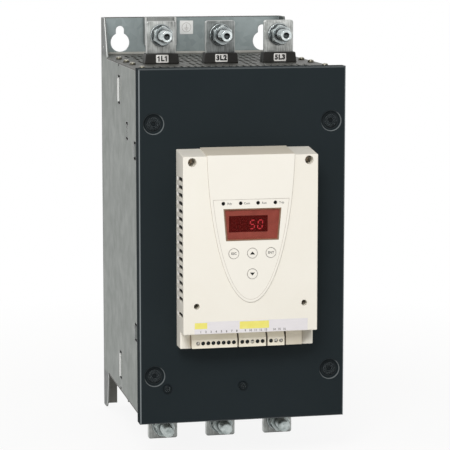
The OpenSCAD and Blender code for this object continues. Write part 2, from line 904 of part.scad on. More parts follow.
// Driver board behind the front rails, with its tall parts on the rear side
module power_board() {
    rear_d = rail_d - pcb_t;
    color("darkgreen") {
        block(0, inner_w - 2 * power_board_gap, rear_d, rail_d, -power_board_h / 2, power_board_h / 2);
        block(bar_xs[0], choke[0], rear_d - choke[1], rear_d, power_part_top - choke[2], power_part_top);
        block(bar_pitch / 2, link[0], rear_d - link[1], rear_d, power_part_top - link[2], power_part_top);
        for (x = bar_xs) block(x, driver[0], rear_d - driver[1], rear_d, -power_part_top,
            driver[2] - power_part_top);
    }
}

// Places children at the bolts of the line bars and of the load bars
module at_bolts() {
    for (x = bar_xs) {
        translate([x, 0, grille_z + line_reach - bolt_inset]) children();
        translate([x, 0, -grille_z - load_reach + bolt_inset]) children();
    }
}

module bar_bolts() {
    color("silver") at_bolts() difference() {
        union() {
            hex(0, 0, bar_d - bar_t - bolt_head_h, bar_d - bar_t, nut_af);
            peg(0, 0, bar_d - bar_t - over, bar_d + bolt_free, pitch_r);
            peg(0, 0, nut_d + nut_h + thread_depth, bar_d + bolt_free, bolt_r);
        }
        peg(0, 0, bar_d + bolt_free - dimple_h, bar_d + bolt_free + over, dimple_r);
    }
}

module bar_nuts() {
    color("silver") at_bolts() difference() {
        hex(0, 0, nut_d, nut_d + nut_h, nut_af);
        peg(0, 0, nut_d - over, nut_d + nut_h + over, pitch_r + slip);
    }
}

module bar_washers() {
    color("gainsboro") at_bolts() {
        difference() {
            peg(0, 0, bar_d, bar_d + washer_t, washer_r);
            peg(0, 0, bar_d - over, bar_d + washer_t + over, bolt_r);
        }
        difference() {
            peg(0, 0, bar_d + washer_t, nut_d, spring_r);
            peg(0, 0, bar_d, nut_d + over, bolt_r);
        }
    }
}

// Cap that insulates a bar where it leaves the box
module insulator(x) {
    neck_w = ins_w - 2 * ins_lip;
    color("black") difference() {
        union() {
            front(ins_d0, ins_d1) polygon([[x - ins_w / 2, grille_z], [x + ins_w / 2, grille_z],
                [x + ins_top_w / 2, grille_z + ins_h], [x - ins_top_w / 2, grille_z + ins_h]]);
            block(x, neck_w, ins_d0 + ins_lip, ins_d1 - ins_lip, grille_z - ins_neck, grille_z + over);
        }
        block(x, bar_w + 2 * slip, bar_d - bar_t - slip, bar_d + slip,
            grille_z - ins_neck - over, grille_z + ins_h + over);
    }
}

module line_insulator_1() {
    insulator(bar_xs[0]);
}

module line_insulator_2() {
    insulator(bar_xs[1]);
}

module line_insulator_3() {
    insulator(bar_xs[2]);
}

module load_insulator_1() {
    mirror([0, 0, 1]) insulator(bar_xs[0]);
}

module load_insulator_2() {
    mirror([0, 0, 1]) insulator(bar_xs[1]);
}

module load_insulator_3() {
    mirror([0, 0, 1]) insulator(bar_xs[2]);
}

// Folded earth terminal on the back plate
module earth_bracket() {
    color("silver") difference() {
        union() {
            block(earth_x, earth_w, sheet_t, 2 * sheet_t, earth_top - earth_h, earth_top);
            for (s = [-1, 1]) block(earth_x + s * (earth_w - sheet_t) / 2, sheet_t, sheet_t,
                sheet_t + earth_flange, earth_top - earth_h, earth_top);
        }
        peg(earth_x, earth_z, 0, 2 * sheet_t + over, earth_bolt_r + slip);
    }
}

module earth_bolt() {
    color("silver") {
        peg(earth_x, earth_z, sheet_t, sheet_t + earth_bolt_l, earth_bolt_r);
        hex(earth_x, earth_z, 2 * sheet_t, 2 * sheet_t + earth_nut_h, earth_nut_af);
    }
}

// Side view of the control unit between two depths, inset by a wall
module unit_side(d0, d1, low, inset_top) {
    polygon([[-d0, low], [-d1, low], [-d1, unit_top_at(d1) - inset_top], [-d0, unit_top_at(d0) - inset_top]]);
}

// Places children at the unit's screws, with the well's index in $well
module at_unit_screws() {
    for ($well = [0, 1], s = [-1, 1]) translate([s * unit_screw_x[$well], 0, unit_screw_z[$well]]) children();
}

// Places children at the heights of the side louvres
module at_louvres() {
    for (i = [0:louvre_gap_n]) if (i != louvre_n) translate([0, 0, unit_top - louvre_drop - i * louvre_pitch])
        children();
}

module unit_base() {
    inner_half = half_unit - unit_wall;
    color("ivory") difference() {
        union() {
            difference() {
                across(-half_unit, half_unit) unit_side(box_d, split_d, unit_low, 0);
                across(-inner_half, inner_half)
                    unit_side(floor_d, split_d + over, unit_low + unit_wall, unit_wall);
                // Open bay in front of the terminals
                block(0, 2 * bay_half, floor_d, split_d + over, unit_low - over, unit_low + unit_wall + over);
                // Rear ends of the louvres in both sides
                at_louvres() block(0, unit_w + 2 * over, louvre_d, split_d + over,
                    -louvre_h / 2, louvre_h / 2);
            }
            at_unit_screws() peg(0, 0, floor_d - over, split_d, unit_boss_r);
            for (s = [-1, 1], z = board_post_zs) peg(s * (upper_board_half - board_post_inset), z,
                floor_d - over, board_d, board_post_r);
            for (s = [-1, 1]) block(s * (bay_half + lug_w / 2), lug_w, floor_d - over, split_d,
                unit_low, lid_low - slip);
        }
        at_unit_screws() peg(0, 0, box_d - over, split_d + over, unit_screw_r + slip);
        block(0, cable_w, box_d - over, floor_d + over, -cable_h / 2, cable_h / 2);
    }
}

// Outline of the display window, grown by g
module window_outline(g) {
    polygon([[pad_x - disp_low_w / 2 - g, disp_low - g], [pad_x + disp_low_w / 2 + g, disp_low - g],
        [pad_x + disp_top_w / 2 + g, disp_low + disp_h + g],
        [pad_x - disp_top_w / 2 - g, disp_low + disp_h + g]]);
}

module unit_lid() {
    inner_half = half_unit - unit_wall;
    color("ivory") difference() {
        union() {
            difference() {
                across(-half_unit, half_unit) unit_side(split_d, lid_d, lid_low, 0);
                across(-inner_half, inner_half)
                    unit_side(split_d - over, lid_inner_d, lid_low + unit_wall, unit_wall);
                // Front ends of the louvres in both sides
                at_louvres() {
                    block(0, unit_w + 2 * over, split_d - over, louvre_front_d - louvre_h / 2,
                        -louvre_h / 2, louvre_h / 2);
                    translate([-half_unit - over, louvre_h / 2 - louvre_front_d, 0]) rotate([0, 90, 0])
                        cylinder(h = unit_w + 2 * over, d = louvre_h);
                }
            }
            at_unit_screws() peg(0, 0, split_d, lid_inner_d + over, unit_boss_r);
            // Posts for the display board
            for (s = [-1, 1], z = [disp_board_z[0] + disp_post_inset, disp_board_z[1] - disp_post_inset])
                peg(s * (disp_board_x - disp_post_inset), z, disp_board_front_d, lid_inner_d + over,
                    disp_post_r);
        }
        at_unit_screws() {
            peg(0, 0, split_d + seat_t, lid_d + over, unit_well_r[$well]);
            peg(0, 0, split_d - over, lid_d, unit_screw_r + slip);
        }
        front(lid_inner_d - over, lid_d + over) window_outline(-window_rest);
        for (k = key_places) peg(k[0], k[1], lid_inner_d - over, lid_d + over, key_r + play);
        for (x = led_xs) peg(x, led_z, lid_inner_d - over, lid_d + over, led_r + slip);
    }
}

// Oval that gives the keypad panel its rounded point, shrunk by g
module panel_oval(g) {
    translate([0, panel_mid]) scale([panel_half_w - g, panel_long - g]) circle(1, $fn = 96);
}

module keypad_panel() {
    top_front = unit_top_at(panel_d) + panel_t;
    color("floralwhite") difference() {
        union() {
            front(lid_d, panel_d) intersection() {
                panel_oval(0);
                translate([-panel_half_w, unit_low]) square([2 * panel_half_w, top_front - unit_low]);
            }
            // Strip of the panel that runs back over the unit's top
            across(panel_side - panel_half_w, panel_half_w - panel_side) polygon([
                [-box_d - slip, unit_top_at(box_d + slip)],
                [-lid_d, unit_top_at(lid_d)], [-lid_d, unit_top_at(lid_d) + panel_t],
                [-box_d - slip, unit_top_at(box_d + slip) + panel_t]]);
        }
        // Recessed touch area
        front(panel_d - pad_recess, panel_d + over) intersection() {
            panel_oval(pad_border);
            translate([-panel_half_w, unit_low]) square([2 * panel_half_w, pad_top - unit_low]);
        }
        front(lid_d - over, panel_d + over) window_outline(slip);
        for (k = key_places) peg(k[0], k[1], lid_d - over, panel_d + over, key_r + play);
        for (x = led_xs) peg(x, led_z, lid_d - over, panel_d + over, led_r + slip);
    }
}

module display_window() {
    color("firebrick") front(lid_d, panel_d - pad_recess - slip) window_outline(0);
}

module display_module() {
    color("maroon") block(module_x, module_w, disp_board_front_d, lid_d - slip, module_z - module_h / 2,
        module_z + module_h / 2);
}

module status_lights() {
    color("black") for (x = led_xs) peg(x, led_z, disp_board_front_d, panel_d - pad_recess, led_r);
}

// Round key with a flange behind the lid and a stem to its switch
module key(i) {
    x = key_places[i][0];
    z = key_places[i][1];
    flange_d = lid_inner_d - play - key_flange_t;
    color("whitesmoke") {
        peg(x, z, flange_d, panel_d - pad_recess + key_proud, key_r);
        peg(x, z, flange_d, flange_d + key_flange_t, key_flange_r);
        peg(x, z, key_stem_end_d, flange_d + over / 2, key_stem_r);
    }
}

module key_esc() {
    key(0);
}

module key_up() {
    key(1);
}

module key_enter() {
    key(2);
}

module key_down() {
    key(3);
}

module control_board() {
    color("darkgreen") {
        block(0, 2 * upper_board_half, board_d, board_front_d, unit_low + board_inset, board_top);
        block(0, 2 * bay_half - 2 * slip, board_d, board_front_d, unit_low + board_inset, lower_board_top);
        block(chip_x, chip[0], board_front_d, board_front_d + chip[1], chip_z - chip[2] / 2,
            chip_z + chip[2] / 2);
        block(coil_x, coil[0], board_front_d, board_front_d + coil[1], coil_z - coil[2] / 2,
            coil_z + coil[2] / 2);
    }
}

module display_board() {
    color("darkgreen") front(disp_board_d, disp_board_front_d)
        translate([-disp_board_x, disp_board_z[0]])
            square([2 * disp_board_x, disp_board_z[1] - disp_board_z[0]]);
}

module key_switches() {
    color("black") for (k = key_places) {
        block(k[0], switch_w, disp_board_front_d, disp_board_front_d + switch_h, k[1] - switch_w / 2,
            k[1] + switch_w / 2);
        peg(k[0], k[1], disp_board_front_d + switch_h - over, switch_top_d, switch_button_r);
    }
}

module unit_screws() {
    seat_d = split_d + seat_t;
    head_d = seat_d + unit_screw_head_h;
    color("dimgray") at_unit_screws() difference() {
        union() {
            peg(0, 0, box_d - screw_len, seat_d + over, unit_screw_r);
            peg(0, 0, seat_d, head_d, unit_screw_head_r);
        }
        block(0, unit_screw_slot, head_d - unit_screw_slot, head_d + over, -unit_screw_head_r,
            unit_screw_head_r);
    }
}

// Screw terminal block with n poles and a left end plate, wires entering from below
module terminal_block(x, n, end_w) {
    w = block_w(n);
    front_d = board_front_d + block_d;
    color("beige") difference() {
        across(x - end_w, x + w) polygon([[-board_front_d, block_low], [-front_d, block_low],
            [-front_d, block_low + block_h - block_slope_h], [block_slope - front_d, block_low + block_h],
            [-board_front_d, block_low + block_h]]);
        for (i = [0:n - 1]) {
            pole_x = x + block_extra / 2 + (i + 0.5) * pole_pitch;
            peg(pole_x, block_low + pole_rise, front_d - pole_depth, front_d + over, pole_r);
            block(pole_x, wire_w, front_d - wire_rear, front_d - wire_rear + wire_t, block_low - over,
                block_low + wire_h);
        }
    }
}

module terminal_block_8() {
    terminal_block(block_x, 8, block_end_w);
}

module terminal_block_5() {
    terminal_block(block5_x, 5, 0);
}

module terminal_block_3() {
    terminal_block(block3_x, 3, 0);
}

module data_socket() {
    mid = socket_x + socket_w / 2;
    mouth_d = board_front_d + socket_rear;
    color("beige") difference() {
        block(mid, socket_w, board_front_d, board_front_d + block_d - socket_step, block_low,
            block_low + block_h);
        block(mid, socket_mouth_w, mouth_d, mouth_d + socket_mouth_t, block_low - over,
            block_low + block_h - socket_roof);
    }
}

// Places children at a fan's axis, on the bottom grille
module at_fan(s) {
    translate([s * fan_x, -fan_d, -wall_z]) children();
}

module fan_frame(s) {
    color("black") at_fan(s) difference() {
        union() {
            difference() {
                translate([-fan_w / 2, -fan_w / 2, 0]) cube([fan_w, fan_w, fan_h]);
                translate([0, 0, -over]) cylinder(h = fan_h + 2 * over, r = fan_r);
            }
            for (a = [45, 135]) rotate(a) translate([-fan_r - over, -strut_w / 2, 0])
                cube([2 * fan_r + 2 * over, strut_w, strut_h]);
            cylinder(h = fan_motor_h, r = fan_hub_r);
        }
        translate([0, 0, -over]) cylinder(h = fan_motor_h + 2 * over, r = fan_shaft_r + shaft_play);
    }
}

module fan_frame_left() {
    fan_frame(-1);
}

module fan_frame_right() {
    fan_frame(1);
}

// Fan rotor: hub, pitched blades and shaft
module fan_rotor(s) {
    color("dimgray") at_fan(s) {
        translate([0, 0, hub_low]) cylinder(h = hub_h, r = fan_hub_r);
        translate([0, 0, shaft_inset]) cylinder(h = hub_low + over, r = fan_shaft_r);
        intersection() {
            for (i = [0:fan_blades - 1]) rotate(i * 360 / fan_blades)
                translate([fan_hub_r - over, 0, hub_low + hub_h / 2]) rotate([blade_angle, 0, 0])
                    translate([0, -blade_t / 2, -blade_w / 2]) cube([fan_r, blade_t, blade_w]);
            translate([0, 0, hub_low + hub_inset]) cylinder(h = hub_h - 2 * hub_inset, r = blade_r);
        }
    }
}

module fan_rotor_left() {
    fan_rotor(-1);
}

module fan_rotor_right() {
    fan_rotor(1);
}

chassis();
top_grille();
bottom_grille();
grille_screws();
front_cover();
cover_screws();
front_rail_left();
front_rail_right();
power_plate();
heatsink();
heatsink_columns();
thyristor_1();
thyristor_2();
thyristor_3();
line_bar_1();
line_bar_2();
line_bar_3();
load_bar_1();
load_bar_2();
load_bar_3();
bypass_1();
bypass_2();
bypass_3();
current_sensor_1();
current_sensor_2();
current_sensor_3();
power_board();
bar_bolts();
bar_nuts();
bar_washers();
line_insulator_1();
line_insulator_2();
line_insulator_3();
load_insulator_1();
load_insulator_2();
load_insulator_3();
earth_bracket();
earth_bolt();
unit_base();
unit_lid();
keypad_panel();
display_window();
display_module();
status_lights();
key_esc();
key_up();
key_enter();
key_down();
control_board();
display_board();
key_switches();
unit_screws();
terminal_block_8();
terminal_block_5();
terminal_block_3();
data_socket();
fan_frame_left();
fan_frame_right();
fan_rotor_left();
fan_rotor_right();
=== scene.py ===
"""Looks of the panel-mounted soft starter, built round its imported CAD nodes."""

import math
import random

import bmesh
import bpy
from mathutils import Matrix, Vector


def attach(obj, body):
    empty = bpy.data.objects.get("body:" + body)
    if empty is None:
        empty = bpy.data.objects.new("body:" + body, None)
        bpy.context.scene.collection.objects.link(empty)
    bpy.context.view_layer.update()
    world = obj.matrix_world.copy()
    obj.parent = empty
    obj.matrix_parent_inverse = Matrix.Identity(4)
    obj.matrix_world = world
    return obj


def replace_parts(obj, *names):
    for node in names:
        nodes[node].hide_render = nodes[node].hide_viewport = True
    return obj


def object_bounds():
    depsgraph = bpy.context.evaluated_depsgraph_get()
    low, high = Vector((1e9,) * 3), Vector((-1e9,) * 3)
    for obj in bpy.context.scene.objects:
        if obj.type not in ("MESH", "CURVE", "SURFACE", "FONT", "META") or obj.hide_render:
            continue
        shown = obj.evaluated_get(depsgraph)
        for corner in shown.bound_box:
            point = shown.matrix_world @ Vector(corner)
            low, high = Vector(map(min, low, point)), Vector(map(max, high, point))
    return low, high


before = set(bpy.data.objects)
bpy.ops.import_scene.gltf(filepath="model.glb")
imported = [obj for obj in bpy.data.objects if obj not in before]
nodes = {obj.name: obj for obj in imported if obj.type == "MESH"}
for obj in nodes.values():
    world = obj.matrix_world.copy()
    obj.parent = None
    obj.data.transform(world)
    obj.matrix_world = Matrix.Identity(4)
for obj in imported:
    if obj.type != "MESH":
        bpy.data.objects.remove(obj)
cad_low, cad_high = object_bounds()
rng = random.Random(11)
MM = 0.001
STARTER = "starter"

# Places and sizes on the part, in millimetres: x to the right, d forwards from the wall, z up
BAR_XS = (-61.0, 0.0, 61.0)
BAR_FRONT, BAR_T = 154.5, 5.0
LINE_BOLT_Z, LOAD_BOLT_Z = 200.6, -202.1
WASHER_R, WASHER_BORE, WASHER_T = 11.3, 6.2, 2.5
SPRING_R, SPRING_BORE, SPRING_T = 10.0, 6.3, 3.0
NUT_AF, NUT_BORE, NUT_H = 18.0, 5.2, 9.0
BOLT_R, BOLT_END, BOLT_HEAD_H = 6.0, 187.5, 7.5
SHANK_R, THREAD_ROOT, THREAD_PITCH = 5.4, 5.25, 1.75
GRILLE_Z = 172
COVER_FRONT, WELL_FLOOR = 262.5, 258.5
LID_FRONT, PANEL_FRONT, PAD_FRONT = 297.9, 299.1, 298.8
HALF_UNIT, UNIT_TOP, UNIT_LOW, LID_LOW = 66.3, 96.7, -96.7, -79.6
OVAL_HALF, OVAL_LONG, OVAL_Z = 43.1, 159.4, 110
KEYS = {"esc": (-17.1, -1.5), "up": (1.2, -1.5), "enter": (19.5, -1.5), "down": (1.2, -21.7)}
KEY_FRONT = 299.2
POLE_STARTS = ((-52.8, 8), (-8.86, 5), (19.84, 3))
POLE_MARGIN, POLE_PITCH, POLE_FRONT, POLE_Z = 0.8, 5.08, 283.4, -91.1


def at(x, d, z):
    """Point in the part's frame, in metres."""
    return Vector((x, -d, z)) * MM


# ---- materials

EVEN = (1, 1, 1)
SPANGLE_SHARE = 0.15
MATT = 0.9


def new_material(name):
    material = bpy.data.materials.new(name)
    material.use_nodes = True
    tree = material.node_tree
    tree.nodes.clear()
    out = tree.nodes.new("ShaderNodeOutputMaterial")
    shader = tree.nodes.new("ShaderNodeBsdfPrincipled")
    tree.links.new(shader.outputs["BSDF"], out.inputs["Surface"])
    return material, tree, shader


def noise(tree, scale, stretch=EVEN, detail=3.0):
    """Noise in the object's own coordinates. Scale is in features a metre."""
    coords = tree.nodes.new("ShaderNodeTexCoord")
    place = tree.nodes.new("ShaderNodeMapping")
    place.inputs["Scale"].default_value = stretch
    texture = tree.nodes.new("ShaderNodeTexNoise")
    texture.inputs["Scale"].default_value = scale
    texture.inputs["Detail"].default_value = detail
    texture.inputs["Roughness"].default_value = 0.55
    tree.links.new(coords.outputs["Object"], place.inputs["Vector"])
    tree.links.new(place.outputs["Vector"], texture.inputs["Vector"])
    return texture.outputs["Fac"]


def crystals(tree, scale):
    """Random value for each cell, for the spangle of zinc."""
    coords = tree.nodes.new("ShaderNodeTexCoord")
    texture = tree.nodes.new("ShaderNodeTexVoronoi")
    texture.inputs["Scale"].default_value = scale
    tree.links.new(coords.outputs["Object"], texture.inputs["Vector"])
    grey = tree.nodes.new("ShaderNodeSeparateColor")
    tree.links.new(texture.outputs["Color"], grey.inputs["Color"])
    return grey.outputs["Red"]


def blend(tree, a, b, share):
    """Mix of two values, share of the second."""
    mix = tree.nodes.new("ShaderNodeMix")
    mix.inputs["Factor"].default_value = share
    tree.links.new(a, mix.inputs["A"])
    tree.links.new(b, mix.inputs["B"])
    return mix.outputs["Result"]


def combine(tree, operation, a, b):
    """Value that a math operation makes of two others."""
    node = tree.nodes.new("ShaderNodeMath")
    node.operation = operation
    tree.links.new(a, node.inputs[0])
    tree.links.new(b, node.inputs[1])
    return node.outputs["Value"]


def spread(tree, value, low, high, start=0.3, end=0.7):
    """Value between start and end, carried over to low and high."""
    node = tree.nodes.new("ShaderNodeMapRange")
    node.inputs["From Min"].default_value = start
    node.inputs["From Max"].default_value = end
    node.inputs["To Min"].default_value = low
    node.inputs["To Max"].default_value = high
    tree.links.new(value, node.inputs["Value"])
    return node.outputs["Result"]


def ramp(tree, value, dark, light, start=0.3, end=0.7):
    """Colour between dark and light, as the value goes from start to end."""
    node = tree.nodes.new("ShaderNodeValToRGB")
    node.color_ramp.elements[0].position = start
    node.color_ramp.elements[0].color = (*dark, 1)
    node.color_ramp.elements[1].position = end
    node.color_ramp.elements[1].color = (*light, 1)
    tree.links.new(value, node.inputs["Fac"])
    return node.outputs["Color"]


def dirt(tree, colour, reach, shade_tint, shade_full, shade_gone):
    """Colour darkened towards a tint in corners, within a reach in millimetres: painted shade, from ambient
    occlusion. The painted shade is full where the openness is at the first given level and gone where it is
    at the second."""
    corner = tree.nodes.new("ShaderNodeAmbientOcclusion")
    corner.samples = 8
    corner.inputs["Distance"].default_value = reach * MM
    mix = tree.nodes.new("ShaderNodeMix")
    mix.data_type = "RGBA"
    mix.blend_type = "MULTIPLY"
    mix.inputs["Factor"].default_value = 1.0
    tree.links.new(colour, mix.inputs["A"])
    tree.links.new(ramp(tree, corner.outputs["AO"], shade_tint, (1, 1, 1), shade_full, shade_gone), mix.inputs["B"])
    return mix.outputs["Result"]


def zone(tree, limits):
    """Mask of a zone of the part: each limit (what, start, end) rises from 0 to 1 between two values, and
    all of them must hold. X, Y and Z are places in millimetres without their sign, and across and height
    are X and Z with their signs. Front, top and left are the share of the surface's own direction that
    points there."""
    coords = tree.nodes.new("ShaderNodeTexCoord")
    axes = tree.nodes.new("ShaderNodeSeparateXYZ")
    tree.links.new(coords.outputs["Object"], axes.inputs["Vector"])
    ways = tree.nodes.new("ShaderNodeSeparateXYZ")
    tree.links.new(coords.outputs["Normal"], ways.inputs["Vector"])
    places = {"across": axes.outputs["X"], "height": axes.outputs["Z"]}
    backs = {"front": ways.outputs["Y"], "left": ways.outputs["X"]}
    mask = None
    for what, start, end in limits:
        if what in "XYZ":
            size = tree.nodes.new("ShaderNodeMath")
            size.operation = "ABSOLUTE"
            tree.links.new(axes.outputs[what], size.inputs[0])
            held = spread(tree, size.outputs["Value"], 0.0, 1.0, start * MM, end * MM)
        elif what in places:
            held = spread(tree, places[what], 0.0, 1.0, start * MM, end * MM)
        elif what == "top":
            held = spread(tree, ways.outputs["Z"], 0.0, 1.0, start, end)
        else:
            held = spread(tree, backs[what], 0.0, 1.0, -start, -end)
        mask = combine(tree, "MULTIPLY", mask, held) if mask else held
    return mask


def mix_colours(tree, share, a, b):
    """Mix of two colours, share of the second."""
    mix = tree.nodes.new("ShaderNodeMix")
    mix.data_type = "RGBA"
    tree.links.new(share, mix.inputs["Factor"])
    tree.links.new(a, mix.inputs["A"])
    tree.links.new(b, mix.inputs["B"])
    return mix.outputs["Result"]


def surface(
    name,
    dark,
    light,
    rough,
    metal=0.0,
    specular=0.5,
    mottle=60,
    grain=None,
    grain_scale=400,
    grain_share=0.6,
    spangle=None,
    tone=(0.3, 0.7),
    rough_vary=0.06,
    bump=0.1,
    bump_scale=2500,
    bump_stretch=EVEN,
    edge=0.5,
    edge_wear_and_light=None,
    edge_wear_and_light_share=0.6,
    coat=0.0,
    shade_reach=0.0,
    shade_tint=(0.12, 0.12, 0.12),
    shade_full=0.15,
    shade_gone=0.75,
    zones=(),
    matt_zone=None,
):
    """Material with mottled colour, grain, uneven gloss, fine bump, and soft edges with a colour of their
    own, some wear and some painted light: lighter edges are a painted highlight, darker ones painted shade.
    Corners can be darkened as painted shade. Zones give parts of it colours of their own, many of them
    painted highlights and painted shade."""
    material, tree, shader = new_material(name)
    value = noise(tree, mottle, detail=4)
    if spangle:
        value = blend(tree, value, crystals(tree, spangle), SPANGLE_SHARE)
    if grain:
        value = blend(tree, value, noise(tree, grain_scale, grain, detail=5), grain_share)
    colour = ramp(tree, value, dark, light, *tone)
    for limits, zone_dark, zone_light in zones:
        colour = mix_colours(tree, zone(tree, limits), colour, ramp(tree, value, zone_dark, zone_light))
    soft = tree.nodes.new("ShaderNodeBevel")
    soft.samples = 4
    soft.inputs["Radius"].default_value = edge * MM
    # Painted light along the edges, with some wear: a painted highlight where the edge colour is lighter,
    # painted shade where it is darker.
    if edge_wear_and_light:
        real = tree.nodes.new("ShaderNodeNewGeometry")
        dot = tree.nodes.new("ShaderNodeVectorMath")
        dot.operation = "DOT_PRODUCT"
        tree.links.new(soft.outputs["Normal"], dot.inputs[0])
        tree.links.new(real.outputs["Normal"], dot.inputs[1])
        mask = spread(tree, dot.outputs["Value"], edge_wear_and_light_share, 0.0, 0.72, 0.97)
        mix = tree.nodes.new("ShaderNodeMix")
        mix.data_type = "RGBA"
        tree.links.new(mask, mix.inputs["Factor"])
        tree.links.new(colour, mix.inputs["A"])
        mix.inputs["B"].default_value = (*edge_wear_and_light, 1)
        colour = mix.outputs["Result"]
    # Painted shade in the corners.
    if shade_reach:
        colour = dirt(tree, colour, shade_reach, shade_tint, shade_full, shade_gone)
    tree.links.new(colour, shader.inputs["Base Color"])
    gloss = spread(tree, noise(tree, mottle * 6, detail=4), rough - rough_vary, rough + rough_vary)
    if matt_zone:
        matt = tree.nodes.new("ShaderNodeMix")
        matt.inputs["B"].default_value = MATT
        tree.links.new(zone(tree, matt_zone), matt.inputs["Factor"])
        tree.links.new(gloss, matt.inputs["A"])
        gloss = matt.outputs["Result"]
    tree.links.new(gloss, shader.inputs["Roughness"])
    relief = tree.nodes.new("ShaderNodeBump")
    relief.inputs["Strength"].default_value = bump
    relief.inputs["Distance"].default_value = 0.3 * MM
    tree.links.new(noise(tree, bump_scale, bump_stretch, detail=2), relief.inputs["Height"])
    tree.links.new(soft.outputs["Normal"], relief.inputs["Normal"])
    tree.links.new(relief.outputs["Normal"], shader.inputs["Normal"])
    shader.inputs["Metallic"].default_value = metal
    shader.inputs["Specular IOR Level"].default_value = specular
    shader.inputs["Coat Weight"].default_value = coat
    return material


# Direction of a grain, and zones of the sheet parts, where painted highlights and painted shade go
ALONG_Z = (1, 1, 0.06)
ON_PLATE = [("Y", 2.7, 2.4)]
ON_EARS = [("Z", 170.5, 174.5)]
EAR_EDGE = ON_EARS + [("Y", 8, 9), ("front", 0.4, 0.6), ("across", -98, -98.3)]
IN_BEND = [("Y", 261.2, 261.45), ("Y", 262.4, 262.25)]
WELL_FOOT = [("Y", 258.45, 258.55), ("Y", 259.4, 259.15), ("X", 100.5, 100), ("Z", 172, 171)]
# Near black for the painted shade in and round the slots of the side walls
SLOT_SHADE = ((0.006, 0.006, 0.006), (0.013, 0.013, 0.013))
SLITS = (
    ("Z", 121, 157.4), ("Z", 121, 130.6), ("Z", 217, 98.65), ("Z", 217, 83.35),
    ("height", 170, 113.65), ("height", 170, 98.35),
)
SPARE_SLOT = [("Y", 168.1, 168.3), ("Y", 171.9, 171.7), ("height", 98.9, 99.1), ("height", 113.1, 112.9)]


def round_slit(way, d, z):
    """Zone of the wall close round a slit at the end of a tab slot, painted dark as the shade in the slit."""
    return [("Y", d - 6.4, d - 6), ("Y", d + 6.4, d + 6), (way, z - 2, z - 1.7), (way, z + 2, z + 1.7)]


zinc = surface(
    "zinc_sheet", (0.157, 0.175, 0.159), (0.194, 0.214, 0.196), 0.42, metal=0.7, mottle=9, spangle=150,
    grain=ALONG_Z, grain_scale=700, grain_share=0.05, bump=0.03, bump_scale=900, edge=0.9,
    edge_wear_and_light=(0.66, 0.67, 0.66), edge_wear_and_light_share=0.95, shade_reach=8,
    zones=[
        # Painted shade: darker within a few millimetres of the wall
        ([("Y", 9, 5)], (0.1, 0.11, 0.104), (0.14, 0.15, 0.144)),
        # Painted shade on the ears above and below the box
        (ON_EARS, (0.06, 0.066, 0.062), (0.092, 0.099, 0.094)),
        # Painted highlight on the front edges of the left ear
        (EAR_EDGE, (0.42, 0.43, 0.42), (0.52, 0.53, 0.52)),
        # Painted light: the back plate lighter and bluer than the sides
        (ON_PLATE, (0.25, 0.295, 0.295), (0.4, 0.455, 0.46)),
        # Darker along the top edge of the back plate
        (ON_PLATE + [("height", 211.4, 211.8)], (0.05, 0.05, 0.046), (0.08, 0.08, 0.075)),
        # Painted shade on the back plate's front below the box
        (ON_PLATE + [("height", -172, -178), ("front", 0.5, 0.7)], (0.1, 0.1, 0.09), (0.15, 0.15, 0.135)),
        # Painted shade on the cut faces inside the side walls
        ([("X", 97.3, 97.4), ("X", 99.15, 99.05), ("Y", 100, 101), ("Z", 165, 164)], *SLOT_SHADE),
        # Painted shade round the spare tab slot
        (SPARE_SLOT, *SLOT_SHADE),
        # Painted shade round the slits at the ends of the tab slots
        *((round_slit(*slit), *SLOT_SHADE) for slit in SLITS),
    ],
)
# Zinc of the power plate, near white so that its tabs through the side walls show bright: painted highlight.
# It is darkened where enclosed, as painted shade.
bright_zinc = surface(
    "bright_zinc", (0.84, 0.85, 0.84), (0.92, 0.93, 0.92), 0.4, metal=0.2, mottle=40, spangle=150,
    bump=0.03, bump_scale=900, edge=0.4, edge_wear_and_light=(0.95, 0.95, 0.94), shade_reach=10, shade_tint=(0.02, 0.02, 0.02),
    shade_gone=0.45,
)
rail_zinc = surface(
    "rail_zinc", (0.3, 0.315, 0.315), (0.42, 0.437, 0.437), 0.4, metal=0.4, mottle=40, spangle=150, bump=0.03,
    bump_scale=900, edge=0.5, edge_wear_and_light=(0.12, 0.125, 0.125), edge_wear_and_light_share=0.7, shade_reach=10, shade_tint=(0.02, 0.02, 0.02),
    shade_gone=0.5,
)
# Zinc of the grilles, much darker than the chassis zinc: painted shade
shaded_grille_zinc = surface(
    "grille_sheet", (0.056, 0.056, 0.049), (0.096, 0.096, 0.087), 0.5, metal=0.5, mottle=25, spangle=160,
    bump=0.05, bump_scale=900, edge=0.7, edge_wear_and_light=(0.34, 0.34, 0.32), edge_wear_and_light_share=0.8, shade_reach=6,
    # Painted highlight on what stands out of the grille sheets, such as the upright rear flange
    zones=[([("Z", 172.3, 172.8)], (0.4, 0.4, 0.37), (0.52, 0.52, 0.48))],
)
cover_paint = surface(
    "cover_paint", (0.0125, 0.0185, 0.0215), (0.0165, 0.023, 0.0265), 0.55, specular=0.08, mottle=6,
    grain=EVEN, grain_scale=1600, grain_share=0.3, bump=0.1, bump_scale=1500, edge=0.5,
    # Painted highlights: lighter bands along the bends, most where they face up and to the left and along the
    # side bends, and a lighter ring round the foot of each screw well
    zones=[
        (IN_BEND, (0.03, 0.036, 0.04), (0.05, 0.058, 0.063)),
        (IN_BEND + [("top", 0.1, 0.45)], (0.12, 0.135, 0.14), (0.2, 0.22, 0.23)),
        (IN_BEND + [("left", 0.4, 0.6)], (0.12, 0.135, 0.14), (0.2, 0.22, 0.23)),
        (WELL_FOOT, (0.028, 0.034, 0.037), (0.045, 0.052, 0.056)),
        (IN_BEND + [("X", 101.6, 101.8)], (0.165, 0.187, 0.198), (0.24, 0.265, 0.28)),
        (IN_BEND + [("Z", 173.2, 173.4)], (0.06, 0.07, 0.075), (0.09, 0.1, 0.106)),
    ],
    matt_zone=[("Y", 261.2, 260.9)],
)
